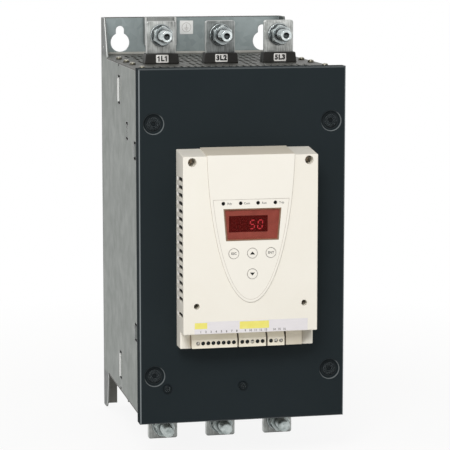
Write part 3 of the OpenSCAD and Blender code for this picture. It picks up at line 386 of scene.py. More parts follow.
black_screw = surface(
    "black_screw", (0.005, 0.008, 0.0095), (0.011, 0.0155, 0.018), 0.4, specular=0.1, mottle=150,
    bump=0.08, bump_scale=2500, edge=0.3, edge_wear_and_light=(0.27, 0.31, 0.33), edge_wear_and_light_share=0.9, shade_reach=2,
)
# Painted highlight for the bars' side edges
BAR_EDGE_HIGHLIGHT = ((0.3, 0.315, 0.305), (0.72, 0.74, 0.72))
BAR_TOP = ((0.22, 0.23, 0.225), (0.5, 0.52, 0.5))
BAR_LOOK = dict(
    metal=0.85, mottle=110, grain=ALONG_Z, grain_scale=1300, grain_share=0.5, tone=(0.34, 0.66), bump=0.12,
    bump_scale=1800, bump_stretch=ALONG_Z, edge=1.1, edge_wear_and_light_share=0.95, shade_reach=6,
)
bar_metal = surface(
    "tinned_bar", (0.16, 0.167, 0.16), (0.74, 0.76, 0.735), 0.34, edge_wear_and_light=(0.92, 0.93, 0.91), **BAR_LOOK,
    zones=[
        # Painted shade on the bars below the box
        ([("height", -150, -170)], (0.15, 0.157, 0.15), (0.5, 0.52, 0.5)),
        # Painted highlights along the bars' side edges
        ([("X", 75.5, 75.7)], *BAR_EDGE_HIGHLIGHT),
        ([("X", 46.5, 46.3), ("X", 40, 41)], *BAR_EDGE_HIGHLIGHT),
        ([("X", 14.5, 14.7), ("X", 20, 19)], *BAR_EDGE_HIGHLIGHT),
        # A tone of their own on the bars' top ends
        ([("height", 214.4, 214.6)], *BAR_TOP),
    ],
)
# The middle bar: the same tinned copper, darker all over: painted shade
bar_shaded = surface(
    "tinned_bar_shaded", (0.07, 0.077, 0.075), (0.36, 0.38, 0.375), 0.34, edge_wear_and_light=(0.8, 0.82, 0.8), **BAR_LOOK,
    zones=[([("X", 14.5, 14.7)], *BAR_EDGE_HIGHLIGHT), ([("height", 214.4, 214.6)], *BAR_TOP)],
)
plated = surface(
    "plated_steel", (0.4, 0.45, 0.455), (0.86, 0.92, 0.92), 0.18, metal=0.9, mottle=130,
    grain=EVEN, grain_scale=900, grain_share=0.2, tone=(0.36, 0.62), rough_vary=0.05, bump=0.03,
    bump_scale=1600, edge=0.3, edge_wear_and_light=(0.95, 0.97, 0.97), edge_wear_and_light_share=0.95, shade_reach=9, shade_tint=(0.01, 0.015, 0.017),
    shade_full=0.52, shade_gone=1.0,
)
plated_soft = surface(
    "plated_steel_soft", (0.36, 0.425, 0.415), (0.84, 0.92, 0.91), 0.33, metal=0.5, mottle=150,
    grain=EVEN, grain_scale=900, grain_share=0.2, tone=(0.36, 0.62), bump=0.03, bump_scale=1600, edge=0.3,
    edge_wear_and_light=(0.92, 0.95, 0.94), edge_wear_and_light_share=0.9, shade_reach=6, shade_tint=(0.02, 0.028, 0.03), shade_full=0.45, shade_gone=0.95,
)
terminal_steel = surface(
    "terminal_steel", (0.1, 0.097, 0.088), (0.66, 0.64, 0.59), 0.3, metal=0.8, mottle=650, tone=(0.42, 0.58),
    bump=0.03, bump_scale=2000, edge=0.15, edge_wear_and_light=(0.8, 0.78, 0.72),
)
earth_sheet = surface(
    "earth_sheet", (0.27, 0.28, 0.272), (0.46, 0.475, 0.46), 0.4, metal=0.8, mottle=60, grain=ALONG_Z,
    grain_scale=900, grain_share=0.4, bump=0.05, bump_scale=900, edge=0.5, edge_wear_and_light=(0.7, 0.71, 0.69), shade_reach=6,
    # Painted highlight on the front edges of the bracket's flanges
    zones=[([("Y", 9.2, 9.6), ("front", 0.5, 0.7)], (0.7, 0.71, 0.69), (0.85, 0.86, 0.84))],
)
yellow_plated = surface(
    "yellow_plated", (0.09, 0.084, 0.064), (0.2, 0.19, 0.155), 0.22, metal=1.0, mottle=300, rough_vary=0.05,
    bump=0.03, bump_scale=1600, edge=0.2, edge_wear_and_light=(0.7, 0.68, 0.6), edge_wear_and_light_share=0.5, shade_reach=4,
    shade_tint=(0.03, 0.025, 0.015), shade_full=0.3, shade_gone=0.95,
    # Painted highlight: the tops of the heads lighter than their sides
    zones=[([("top", 0.6, 0.9)], (0.6, 0.58, 0.5), (0.8, 0.78, 0.7))],
)
bronzed = surface(
    "bronzed_screw", (0.2, 0.155, 0.105), (0.32, 0.25, 0.18), 0.35, metal=0.7, mottle=300,
    bump=0.03, bump_scale=2000, edge=0.2, edge_wear_and_light=(0.2, 0.17, 0.13), shade_reach=3,
)
black_plastic = surface(
    "black_plastic", (0.012, 0.0115, 0.01), (0.02, 0.019, 0.017), 0.45, specular=0.35, mottle=90,
    bump=0.12, bump_scale=2200, edge=0.4, edge_wear_and_light=(0.05, 0.048, 0.044),
)
LOUVRE_ENDS = [("X", 64, 64.2), ("Y", 267.2, 267.4), ("Y", 267.8, 267.6), ("front", 0.8, 0.9)]
ivory = surface(
    "ivory_plastic", (0.845, 0.815, 0.735), (0.88, 0.855, 0.785), 0.42, specular=0.4, mottle=14,
    grain=EVEN, grain_scale=1200, grain_share=0.25, bump=0.06, bump_scale=2600, edge=0.5,
    edge_wear_and_light=(0.9, 0.88, 0.82), edge_wear_and_light_share=0.5, shade_reach=2.5, shade_tint=(0.7, 0.6, 0.48), shade_gone=0.55,
    # Painted highlight on the rear end faces of the louvres
    zones=[(LOUVRE_ENDS, (0.96, 0.96, 0.95), (0.98, 0.98, 0.97))],
)
panel_plastic = surface(
    "panel_plastic", (0.855, 0.83, 0.76), (0.89, 0.865, 0.8), 0.36, specular=0.4, mottle=12,
    grain=EVEN, grain_scale=1500, grain_share=0.25, bump=0.035, bump_scale=3200, edge=0.35,
    edge_wear_and_light=(0.62, 0.59, 0.53), edge_wear_and_light_share=0.6,
    # Painted shade: the top strip of the panel darker and browner
    zones=[([("Z", 92.6, 93.0), ("Y", 298.95, 298.7)], (0.73, 0.675, 0.57), (0.77, 0.715, 0.61))],
)
key_plastic = surface(
    "key_plastic", (0.85, 0.825, 0.76), (0.89, 0.865, 0.8), 0.4, specular=0.4, mottle=60,
    bump=0.05, bump_scale=3000, edge=0.3, edge_wear_and_light=(0.7, 0.67, 0.6),
)
terminal_plastic = surface(
    "terminal_plastic", (0.84, 0.79, 0.67), (0.9, 0.855, 0.735), 0.45, specular=0.4, mottle=80,
    bump=0.06, bump_scale=2600, edge=0.3, edge_wear_and_light=(0.84, 0.8, 0.7), shade_reach=3, shade_tint=(0.3, 0.24, 0.17),
)
# The data socket's beige, darkened: painted shade
socket_shaded_plastic = surface(
    "socket_shaded_plastic", (0.62, 0.572, 0.47), (0.7, 0.65, 0.545), 0.5, specular=0.35, mottle=80, bump=0.06,
    bump_scale=2600, edge=0.3, edge_wear_and_light=(0.74, 0.69, 0.59), shade_reach=4, shade_tint=(0.3, 0.24, 0.17),
)
aluminium = surface(
    "aluminium_sink", (0.5, 0.51, 0.52), (0.66, 0.67, 0.68), 0.36, metal=1.0, mottle=40, grain=ALONG_Z,
    grain_scale=800, grain_share=0.7, bump=0.05, bump_scale=1400, bump_stretch=ALONG_Z, edge=0.3,
    edge_wear_and_light=(0.75, 0.76, 0.77),
)
module_plastic = surface(
    "module_plastic", (0.03, 0.03, 0.032), (0.05, 0.05, 0.053), 0.5, mottle=100, bump=0.08, edge=0.5,
)
contactor_plastic = surface(
    "contactor_plastic", (0.34, 0.32, 0.24), (0.42, 0.4, 0.31), 0.48, mottle=70, bump=0.08, edge=0.5,
    edge_wear_and_light=(0.5, 0.48, 0.4),
)
board_green = surface(
    "board_green", (0.012, 0.07, 0.03), (0.025, 0.11, 0.05), 0.35, mottle=200, grain=EVEN,
    grain_scale=500, bump=0.1, bump_scale=700, edge=0.2, coat=0.3,
)
board_part = surface(
    "sealed_module", (0.04, 0.003, 0.005), (0.055, 0.005, 0.008), 0.3, mottle=120, bump=0.03, edge=0.2,
)
lens_black = surface(
    "lens_black", (0.002, 0.002, 0.002), (0.005, 0.005, 0.005), 0.4, specular=0.12, mottle=300, bump=0.02,
    edge=0.2,
)
INK = dict(mottle=600, bump=0.03, edge=0.02)
print_black = surface(
    "print_black", (0.006, 0.006, 0.006), (0.014, 0.014, 0.014), 0.5, specular=0.2, **INK,
)
print_grey = surface(
    "print_grey", (0.13, 0.128, 0.125), (0.2, 0.195, 0.19), 0.5, specular=0.3, **INK,
)
print_pale = surface(
    "print_pale", (0.4, 0.39, 0.37), (0.5, 0.485, 0.465), 0.5, specular=0.3, **INK,
)
label_white = surface(
    "label_white", (0.82, 0.81, 0.79), (0.87, 0.86, 0.84), 0.4, specular=0.4, mottle=150, bump=0.03,
    edge=0.1,
)
sticker_silver = surface(
    "sticker_silver", (0.86, 0.87, 0.865), (0.93, 0.94, 0.935), 0.4, specular=0.4, mottle=120, bump=0.03,
    edge=0.1,
)
strip_paper = surface(
    "strip_paper", (0.74, 0.72, 0.75), (0.8, 0.78, 0.8), 0.45, specular=0.3, mottle=60, grain=(0.1, 1, 1),
    grain_scale=900, bump=0.03, edge=0.05,
)
yellow_paper = surface(
    "yellow_paper", (0.82, 0.745, 0.15), (0.87, 0.81, 0.24), 0.42, specular=0.3, mottle=120, bump=0.03,
    edge=0.05,
)
backing = surface(
    "display_backing", (0.33, 0.35, 0.335), (0.41, 0.43, 0.415), 0.55, specular=0.3, mottle=120, bump=0.05,
    edge=0.2,
)
line_grey = surface(
    "line_grey", (0.5, 0.46, 0.41), (0.58, 0.54, 0.49), 0.5, specular=0.3, mottle=300, bump=0.03, edge=0.02,
)
shade_black = surface(
    "shade_black", (0.006, 0.006, 0.006), (0.012, 0.012, 0.012), 0.7, specular=0.2, mottle=200, bump=0.05,
    edge=0.2,
)
frame_brown = surface(
    "frame_brown", (0.17, 0.1, 0.06), (0.24, 0.15, 0.09), 0.45, mottle=200, bump=0.03, edge=0.1,
)
segment_dark = surface(
    "segment_dark", (0.075, 0.008, 0.012), (0.09, 0.012, 0.017), 0.4, mottle=300, bump=0.02, edge=0.05,
)


def lit_segment():
    """Segment of a digit that glows."""
    material, tree, shader = new_material("segment_lit")
    value = noise(tree, 900, detail=2)
    tree.links.new(ramp(tree, value, (0.26, 0.05, 0.08), (0.34, 0.08, 0.11)), shader.inputs["Base Color"])
    tree.links.new(ramp(tree, value, (0.9, 0.14, 0.22), (1.0, 0.22, 0.32)), shader.inputs["Emission Color"])
    shader.inputs["Emission Strength"].default_value = 0.36
    shader.inputs["Roughness"].default_value = 0.4
    return material


def tinted_window():
    """Red filter that shows what lies behind it."""
    material, tree, shader = new_material("red_window")
    value = noise(tree, 90, detail=3)
    tree.links.new(ramp(tree, value, (0.26, 0.02, 0.02), (0.32, 0.03, 0.028)), shader.inputs["Base Color"])
    tree.links.new(spread(tree, noise(tree, 500), 0.16, 0.26), shader.inputs["Roughness"])
    shader.inputs["Specular IOR Level"].default_value = 0.1
    clear = tree.nodes.new("ShaderNodeBsdfTransparent")
    clear.inputs["Color"].default_value = (0.935, 0.658, 0.62, 1)
    mix = tree.nodes.new("ShaderNodeMixShader")
    mix.inputs["Fac"].default_value = 0.045
    tree.links.new(clear.outputs["BSDF"], mix.inputs[1])
    tree.links.new(shader.outputs["BSDF"], mix.inputs[2])
    out = next(n for n in tree.nodes if n.type == "OUTPUT_MATERIAL")
    tree.links.new(mix.outputs["Shader"], out.inputs["Surface"])
    return material


segment_lit = lit_segment()
red_window = tinted_window()

# ---- piece making

HARD_EDGE = 35
CLOSED_R = 0.05
LETTER_T = 0.06


def finish_mesh(name, bm, material, body=STARTER, smooth=HARD_EDGE, even=False):
    """Piece made of a mesh, riding on a body. Edges sharper than smooth, in degrees, stay hard."""
    bmesh.ops.recalc_face_normals(bm, faces=bm.faces)
    mesh = bpy.data.meshes.new(name)
    bm.to_mesh(mesh)
    bm.free()
    mesh.materials.append(material)
    mesh.polygons.foreach_set("use_smooth", [True] * len(mesh.polygons))
    mesh.set_sharp_from_angle(angle=math.radians(smooth))
    made = bpy.data.objects.new(name, mesh)
    bpy.context.scene.collection.objects.link(made)
    if even:
        made.modifiers.new("even_normals", "WEIGHTED_NORMAL").keep_sharp = True
    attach(made, body)
    return made


def rounded(node, width, material, pick=None, segments=3):
    """Copy of a CAD node whose outer edges are rounded, shown in its place."""
    bm = bmesh.new()
    bm.from_mesh(nodes[node].data)
    bmesh.ops.remove_doubles(bm, verts=bm.verts, dist=2e-6)
    bmesh.ops.dissolve_limit(bm, angle_limit=math.radians(0.5), verts=bm.verts, edges=bm.edges)
    chosen = []
    for e in bm.edges:
        if len(e.link_faces) != 2 or e.calc_face_angle_signed(0) < math.radians(HARD_EDGE):
            continue
        middle = (e.verts[0].co + e.verts[1].co) / 2 / MM
        if pick is None or pick(middle.x, -middle.y, middle.z):
            chosen.append(e)
    bmesh.ops.bevel(
        bm, geom=chosen, offset=width * MM, offset_type="OFFSET", segments=segments, profile=0.5,
        affect="EDGES", clamp_overlap=False,
    )
    made = finish_mesh(node + "_rounded", bm, material, even=True)
    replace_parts(made, node)


def angles(steps):
    """Even steps of one turn."""
    return [2 * math.pi * j / steps for j in range(steps)]


def skin(bm, a, b):
    """Faces between two closed loops of vertices."""
    for j in range(len(a)):
        k = (j + 1) % len(a)
        bm.faces.new((a[j], a[k], b[k], b[j]))


def rings(bm, loops):
    """Skins a row of closed loops, given as lists of points in metres."""
    rows = [[bm.verts.new(p) for p in loop] for loop in loops]
    for a, b in zip(rows, rows[1:]):
        skin(bm, a, b)
    return rows


def solid(bm, loops):
    """Skins a row of closed loops and closes both ends."""
    rows = rings(bm, loops)
    bm.faces.new(rows[0])
    bm.faces.new(rows[-1])


def turned(bm, x, z, profile, steps):
    """Revolves (radius, depth) points about an axis along the depth. An end that meets the axis is closed."""
    rows = rings(
        bm, [[at(x + r * math.cos(a), d, z + r * math.sin(a)) for a in angles(steps)] for r, d in profile]
    )
    for row, (r, _) in ((rows[0], profile[0]), (rows[-1], profile[-1])):
        if r <= CLOSED_R:
            bm.faces.new(row)


def hex_body(bm, x, z, d0, d1, flats, bore, turn):
    """Six-sided nut between two depths with chamfered corners. A bore of 0 closes both ends."""
    chamfer_r = flats / 2 * 1.03
    drop = math.tan(math.radians(30))
    bore_r = max(bore, 0.02)

    def corner(a):
        return flats / 2 / math.cos((a - turn) % (math.pi / 3) - math.pi / 6)

    def fall(a):
        return max(0.0, corner(a) - chamfer_r) * drop

    def ring(radius, depth):
        return [at(x + radius(a) * math.cos(a), depth(a), z + radius(a) * math.sin(a)) for a in angles(72)]

    loops = [
        ring(lambda a: bore_r, lambda a: d0),
        ring(lambda a: min(corner(a), chamfer_r), lambda a: d0),
        ring(corner, lambda a: d0 + fall(a)),
        ring(corner, lambda a: d1 - fall(a)),
        ring(lambda a: min(corner(a), chamfer_r), lambda a: d1),
        ring(lambda a: bore_r, lambda a: d1),
    ]
    if bore:
        rows = rings(bm, loops)
        skin(bm, rows[-1], rows[0])
    else:
        solid(bm, loops)


def threaded(bm, x, z, d0, d1, crest, root, pitch):
    """Helical thread between two depths, as an open sleeve."""
    steps, per_turn = 30, 6
    count = int(round((d1 - d0) / pitch * per_turn))
    loops = []
    for i in range(count + 1):
        d = d0 + (d1 - d0) * i / count
        loop = []
        for j, a in enumerate(angles(steps)):
            phase = ((d - d0) / pitch - j / steps) % 1.0
            r = root + (crest - root) * (1 - abs(2 * phase - 1))
            loop.append(at(x + r * math.cos(a), d, z + r * math.sin(a)))
        loops.append(loop)
    rings(bm, loops)


def slab(bm, outline, d0, d1, soft=0.0):
    """Plate between two depths from an outline of (x, z) points, its front edge rounded by soft."""
    centre_x = sum(p[0] for p in outline) / len(outline)
    centre_z = sum(p[1] for p in outline) / len(outline)
    shoulder = soft * 0.3

    def inset(by):
        made = []
        for px, pz in outline:
            reach = math.hypot(px - centre_x, pz - centre_z)
            k = max(0.0, 1 - by / reach) if reach else 1
            made.append((centre_x + (px - centre_x) * k, centre_z + (pz - centre_z) * k))
        return made

    loops = [[at(px, d0, pz) for px, pz in outline], [at(px, d1 - soft, pz) for px, pz in outline]]
    if soft:
        loops.append([at(px, d1 - shoulder, pz) for px, pz in inset(shoulder)])
        loops.append([at(px, d1, pz) for px, pz in inset(soft)])
    solid(bm, loops)


def round_rect(x0, z0, x1, z1, r):
    """Outline of a rectangle with rounded corners."""
    steps = 5
    points = []
    corners = ((x1 - r, z1 - r, 0), (x0 + r, z1 - r, 90), (x0 + r, z0 + r, 180), (x1 - r, z0 + r, 270))
    for cx, cz, start in corners:
        for i in range(steps + 1):
            a = math.radians(start + 90 * i / steps)
            points.append((cx + r * math.cos(a), cz + r * math.sin(a)))
    return points


def flat_ring(bm, x, z, inner, outer, d0, d1):
    turned(bm, x, z, [(inner, d0), (outer, d0), (outer, d1), (inner, d1), (inner, d0)], 48)


def lettering(bm, text, size, x, z, d, bold=0.0, gap=1.0):
    """Text facing forwards, centred on x and z, added to a mesh."""
    curve = bpy.data.curves.new("lettering", "FONT")
    curve.body = text
    curve.size = size * MM
    curve.align_x = "CENTER"
    curve.align_y = "CENTER"
    curve.extrude = LETTER_T / 2 * MM
    curve.offset = bold * MM
    curve.space_character = gap
    curve.resolution_u = 3
    carrier = bpy.data.objects.new("lettering", curve)
    bpy.context.scene.collection.objects.link(carrier)
    bpy.context.view_layer.update()
    shape = bpy.data.meshes.new_from_object(carrier.evaluated_get(bpy.context.evaluated_depsgraph_get()))
    shape.transform(Matrix.Translation(at(x, d, z)) @ Matrix.Rotation(math.radians(90), 4, "X"))
    bm.from_mesh(shape)
    bpy.data.objects.remove(carrier)
    bpy.data.curves.remove(curve)
    bpy.data.meshes.remove(shape)


def domed_grid(bm, centre, u, v, axis, radius, height, rows, steps):
    """Round head on a centre point: u and v span its plane, axis points out of it, and height(r, a) gives
    its rise."""

    def ring(r, rise):
        return [
            centre + u * (r * math.cos(a)) + v * (r * math.sin(a)) + axis * rise(r, a) for a in angles(steps)
        ]

    foot = ring(radius, lambda r, a: 0.0)
    solid(bm, [foot] + [ring(radius * (1 - i / rows), height) for i in range(rows)])


# ---- CAD nodes that keep their own shape


def three(stem):
    """Names of a node that comes once for each phase."""
    return [f"{stem}_{i}" for i in (1, 2, 3)]


PLAIN = {
    zinc: ["chassis"],
    bright_zinc: ["power_plate"],
    rail_zinc: ["front_rail_left", "front_rail_right"],
    shaded_grille_zinc: ["top_grille", "bottom_grille"],
    cover_paint: ["front_cover"],
    plated: ["heatsink_columns", "earth_bolt"],
    bronzed: ["unit_screws"],
    earth_sheet: ["earth_bracket"],
    aluminium: ["heatsink"],
    module_plastic: three("thyristor") + three("current_sensor") + ["key_switches"],
    contactor_plastic: three("bypass"),
    board_green: ["power_board", "control_board", "display_board"],
    board_part: ["display_module"],
    lens_black: ["status_lights"],
    red_window: ["display_window"],
    key_plastic: ["key_esc", "key_up", "key_enter", "key_down"],
    terminal_plastic: ["terminal_block_8", "terminal_block_5", "terminal_block_3"],
    socket_shaded_plastic: ["data_socket"],
    black_plastic: ["fan_frame_left", "fan_frame_right", "fan_rotor_left", "fan_rotor_right"],
}
for material, names in PLAIN.items():
    for name in names:
        for held in nodes[name].material_slots:
            held.material = material

# ---- rounded copies of the nodes with hard edges

for name in three("line_bar") + three("load_bar"):
    rounded(name, 0.6, bar_shaded if name == "line_bar_2" else bar_metal)
for name in three("line_insulator") + three("load_insulator"):
    rounded(name, 0.7, black_plastic, segments=2)


def outer_lid(x, d, z):
    return (abs(x) > HALF_UNIT - 0.1 or z > 92.2 or z < LID_LOW + 0.1) and d > 281


def outer_base(x, d, z):
    at_foot = z < UNIT_LOW + 0.1
    return (abs(x) > HALF_UNIT - 0.1 and (z > 90 or at_foot)) or (at_foot and d > COVER_FRONT + 0.1)


def panel_outline(x, d, z):
    on_oval = abs((x / OVAL_HALF) ** 2 + ((z - OVAL_Z) / OVAL_LONG) ** 2 - 1) < 0.03
    return d > PANEL_FRONT - 0.05 and (on_oval or z > 92)


rounded("unit_lid", 0.9, ivory, outer_lid)
rounded("unit_base", 0.9, ivory, outer_base)
rounded("keypad_panel", 0.45, panel_plastic, panel_outline)

# ---- bolt sets of the bars

BAR_REAR = BAR_FRONT - BAR_T
WASHER_FRONT = BAR_FRONT + WASHER_T
NUT_REAR = WASHER_FRONT + SPRING_T
NUT_FRONT = NUT_REAR + NUT_H
SPRING_STEPS, SPRING_RISE = 48, 0.5
FLAT_WASHER = [
    (WASHER_BORE, BAR_FRONT), (WASHER_R - 0.4, BAR_FRONT), (WASHER_R, BAR_FRONT + 0.4),
    (WASHER_R, WASHER_FRONT - 0.5), (WASHER_R - 0.5, WASHER_FRONT), (WASHER_BORE, WASHER_FRONT),
    (WASHER_BORE, BAR_FRONT),
]
BOLT_TIP = [(5.3, BOLT_END - 1.4), (5.9, BOLT_END - 1.0)]
SOCKET_END = BOLT_TIP + [
    (5.2, BOLT_END), (3.4, BOLT_END), (2.9, BOLT_END - 0.4), (2.7, BOLT_END - 2.5), (0.03, BOLT_END - 3.2),
]
CROWN_END = BOLT_TIP + [
    (5.6, BOLT_END - 0.7), (4.8, BOLT_END - 0.3), (3.2, BOLT_END - 0.08), (0.03, BOLT_END),
]


def spring_washer(bm, x, z, split):
    """Split washer: one turn with a small gap and rise."""
    loops = []
    for i in range(SPRING_STEPS + 1):
        a = split + math.radians(6 + 348 * i / SPRING_STEPS)
        rise = SPRING_RISE * i / SPRING_STEPS
        low, high = WASHER_FRONT + rise, NUT_REAR - SPRING_RISE + rise
        section = [(SPRING_BORE, low), (SPRING_R, low), (SPRING_R, high), (SPRING_BORE, high)]
        loops.append([at(x + r * math.cos(a), d, z + r * math.sin(a)) for r, d in section])
    solid(bm, loops)


line_set = [bmesh.new() for _ in range(4)]
load_set = bmesh.new()
for x in BAR_XS:
    for z in (LINE_BOLT_Z, LOAD_BOLT_Z):
        studs, nuts, flats, springs = line_set if z > 0 else [load_set] * 4
        turn = rng.uniform(0, math.pi / 3)
        turned(flats, x, z, FLAT_WASHER, 56)
        hex_body(nuts, x, z, NUT_REAR, NUT_FRONT, NUT_AF, NUT_BORE, turn)
        hex_body(studs, x, z, BAR_REAR - BOLT_HEAD_H, BAR_REAR, NUT_AF, 0, turn + 0.4)
        turned(studs, x, z, [(SHANK_R, BAR_REAR), (SHANK_R, NUT_FRONT)], 30)
        threaded(studs, x, z, NUT_FRONT - 0.5, BOLT_END - 1.2, BOLT_R, THREAD_ROOT, THREAD_PITCH)
        turned(studs, x, z, SOCKET_END if z > 0 else CROWN_END, 36)
        spring_washer(springs, x, z, rng.uniform(0, 2 * math.pi))
studs, nuts, flats, springs = line_set
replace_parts(finish_mesh("line_studs", studs, plated), "bar_bolts")
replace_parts(finish_mesh("line_nuts", nuts, plated, smooth=25), "bar_nuts")
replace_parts(finish_mesh("line_flat_washers", flats, plated), "bar_washers")
finish_mesh("line_spring_washers", springs, plated)
load_bolts = finish_mesh("load_bolt_sets", load_set, plated_soft, smooth=25)
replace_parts(load_bolts, "bar_bolts", "bar_nuts", "bar_washers")

# ---- screw heads

FORWARD = Vector((0, -1, 0))
RIGHT, UP = Vector((1, 0, 0)), Vector((0, 0, 1))
RIM_HEAD_R, RIM_HEAD_H = 3.2 * MM, 3.0 * MM
CLIP_HEAD_R, CLIP_HEAD_H = 4.4 * MM, 2.6 * MM
WELL_HEAD_R = 6.2 * MM
POLE_R = 1.92 * MM
GLINTING_POLES = (1, 11, 15, 16)


def cross_head(radius, height):
    """Rise of a domed screw head with a cross recess."""

    def rise(r, a):
        dome = height * math.sqrt(max(0.0, 1 - 0.25 * (r / radius) ** 2 - 0.65 * (r / radius) ** 6))
        across, along = abs(r * math.cos(a)), abs(r * math.sin(a))
        cut = min(across, along) < 0.125 * radius and max(across, along) < 0.55 * radius
        return dome - 0.4 * height if cut else dome

    return rise


def socket_head(r, a):
    """Rise of a flat screw head with a groove round its six-sided socket."""
    rise = 2.6 * MM if r < 5.6 * MM else 2.1 * MM
    if 3.9 * MM < r < 4.5 * MM:
        rise -= 0.4 * MM
    flat = r * math.cos((a % (math.pi / 3)) - math.pi / 6)
    return rise - 1.6 * MM if flat < 2.5 * MM else rise


def slot_head(r, a):
    """Rise of a domed screw head with a slot."""
    if abs(r * math.sin(a)) < 0.32 * MM:
        return -0.5 * MM
    return 0.25 * MM * math.sqrt(max(0.0, 1 - (r / POLE_R) ** 2 * 0.6))


def on_front(spin):
    """Two directions across a head that faces forwards, turned by an angle."""
    return Vector((math.cos(spin), 0, math.sin(spin))), Vector((-math.sin(spin), 0, math.cos(spin)))


def pole_places():
    """Number and x of each terminal."""
    number = 0
    for start, count in POLE_STARTS:
        for i in range(count):
            number += 1
            yield number, start + POLE_MARGIN + (i + 0.5) * POLE_PITCH


# Pan screws of both grilles
heads = bmesh.new()
rim_head = cross_head(RIM_HEAD_R, RIM_HEAD_H)
for s in (-1, 1):
    for x in (-92.2, 92.2):
        for d in (78, 126, 165, 222):
            spin = rng.uniform(0, math.pi / 2)
            u = Vector((math.cos(spin), math.sin(spin), 0))
            v = Vector((-math.sin(spin), math.cos(spin), 0))
            domed_grid(heads, at(x, d, s * GRILLE_Z), u, v * s, UP * s, RIM_HEAD_R, rim_head, 14, 48)
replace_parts(finish_mesh("grille_screw_heads", heads, yellow_plated), "grille_screws")

# Screws of the cover: socket heads in the wells, cross-recessed heads below
cover_heads = bmesh.new()
clip_head = cross_head(CLIP_HEAD_R, CLIP_HEAD_H)
for x in (-88.3, 88.3):
    for z in (-126.7, 121.4):
        domed_grid(cover_heads, at(x, WELL_FLOOR, z), RIGHT, UP, FORWARD, WELL_HEAD_R, socket_head, 31, 72)
for x in (-76, 0):
    u, v = on_front(rng.uniform(0, math.pi / 2))
    domed_grid(cover_heads, at(x, COVER_FRONT, -139.5), u, v, FORWARD, CLIP_HEAD_R, clip_head, 14, 48)
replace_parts(finish_mesh("cover_screw_heads", cover_heads, black_screw), "cover_screws")

# Terminal screws, all alike: most painted dark as shade, a few painted bright as a glint
slots_shaded, slots_glinting = bmesh.new(), bmesh.new()
for number, x in pole_places():
    u, v = on_front(rng.uniform(0, math.pi))
    into = slots_glinting if number in GLINTING_POLES else slots_shaded
    domed_grid(into, at(x, POLE_FRONT, POLE_Z), u, v, FORWARD, POLE_R, slot_head, 12, 40)
finish_mesh("terminal_screws", slots_shaded, black_screw)
finish_mesh("terminal_screws_glinting", slots_glinting, terminal_steel)

# ---- dark sheets in the side louvres: painted shade behind the openings

LOUVRES = [i for i in range(18) if i != 16]
LOUVRE_DROP, LOUVRE_PITCH, LOUVRE_REAR, LOUVRE_ROUND = 27, 7.77, 267.55, 293.2
LOUVRE_SHADE_R = 1.95
LOUVRE_SHADE_WALLS = (HALF_UNIT - 1.9, HALF_UNIT - 3)
LOUVRE_SHADE_OUTLINE = [(LOUVRE_REAR, LOUVRE_SHADE_R), (LOUVRE_REAR, -LOUVRE_SHADE_R)] + [
    (LOUVRE_ROUND + LOUVRE_SHADE_R * math.cos(turn), LOUVRE_SHADE_R * math.sin(turn))
    for turn in (math.pi * (i / 8 - 0.5) for i in range(9))
]

shade_sheets = bmesh.new()
for side in (-1, 1):
    for i in LOUVRES:
        z = UNIT_TOP - LOUVRE_DROP - i * LOUVRE_PITCH
        solid(shade_sheets, [[at(side * x, d, z + up) for d, up in LOUVRE_SHADE_OUTLINE] for x in LOUVRE_SHADE_WALLS])
finish_mesh("louvre_shade_sheets", shade_sheets, shade_black)

# ---- phase plates on the line insulators

PLATE_Z, PLATE_REAR, PLATE_FRONT = 177.3, 159.4, 160.0
ONE = ((-0.5, -2.7), (0.7, -2.7), (0.7, 2.7), (-0.3, 2.7), (-1.6, 1.7), (-1.6, 0.6), (-0.5, 1.2))

plates, marks = bmesh.new(), bmesh.new()
for x, text in zip(BAR_XS, ("1L1", "3L2", "5L3")):
    slab(plates, round_rect(x - 6.3, PLATE_Z - 4, x + 6.5, PLATE_Z + 4, 0.9), PLATE_REAR, PLATE_FRONT, 0.15)
    if text == "1L1":
        # Both ones are drawn, with a longer flag than the font's
        lettering(marks, "L", 7.2, x + 0.3, PLATE_Z, PLATE_FRONT + 0.02, bold=0.32)
        for middle in (x - 3.4, x + 4.0):
            one = [(middle + dx, PLATE_Z + dz) for dx, dz in ONE]
            slab(marks, one, PLATE_FRONT - 0.01, PLATE_FRONT + 0.05)
    else:
        lettering(marks, text, 6.7, x + 0.1, PLATE_Z, PLATE_FRONT + 0.02, bold=0.4, gap=1.13)
finish_mesh("phase_plates", plates, label_white)
finish_mesh("phase_marks", marks, print_black)

# ---- sticker with the earth sign on the back plate

EARTH_X, EARTH_Z, EARTH_REAR, EARTH_FRONT = -5.6, 200.7, 2.1, 2.2

sticker, earth = bmesh.new(), bmesh.new()
slab(sticker, round_rect(-12.9, 193.4, 1.7, 208.0, 0.6), 1.95, 2.15, 0.05)
finish_mesh("bare_sticker", sticker, sticker_silver)
flat_ring(earth, EARTH_X, EARTH_Z, 4.7, 5.1, EARTH_REAR, EARTH_FRONT)
for half, low, high in ((2.4, -1.0, -0.5), (1.5, -2.2, -1.7), (0.6, -3.4, -2.9), (0.25, -0.6, 3.2)):
    stroke = round_rect(EARTH_X - half, EARTH_Z + low, EARTH_X + half, EARTH_Z + high, 0.1)
    slab(earth, stroke, EARTH_REAR, EARTH_FRONT)
finish_mesh("earth_mark", earth, print_pale)

# ---- label strip along the lid's lower edge, its yellow fields and terminal numbers

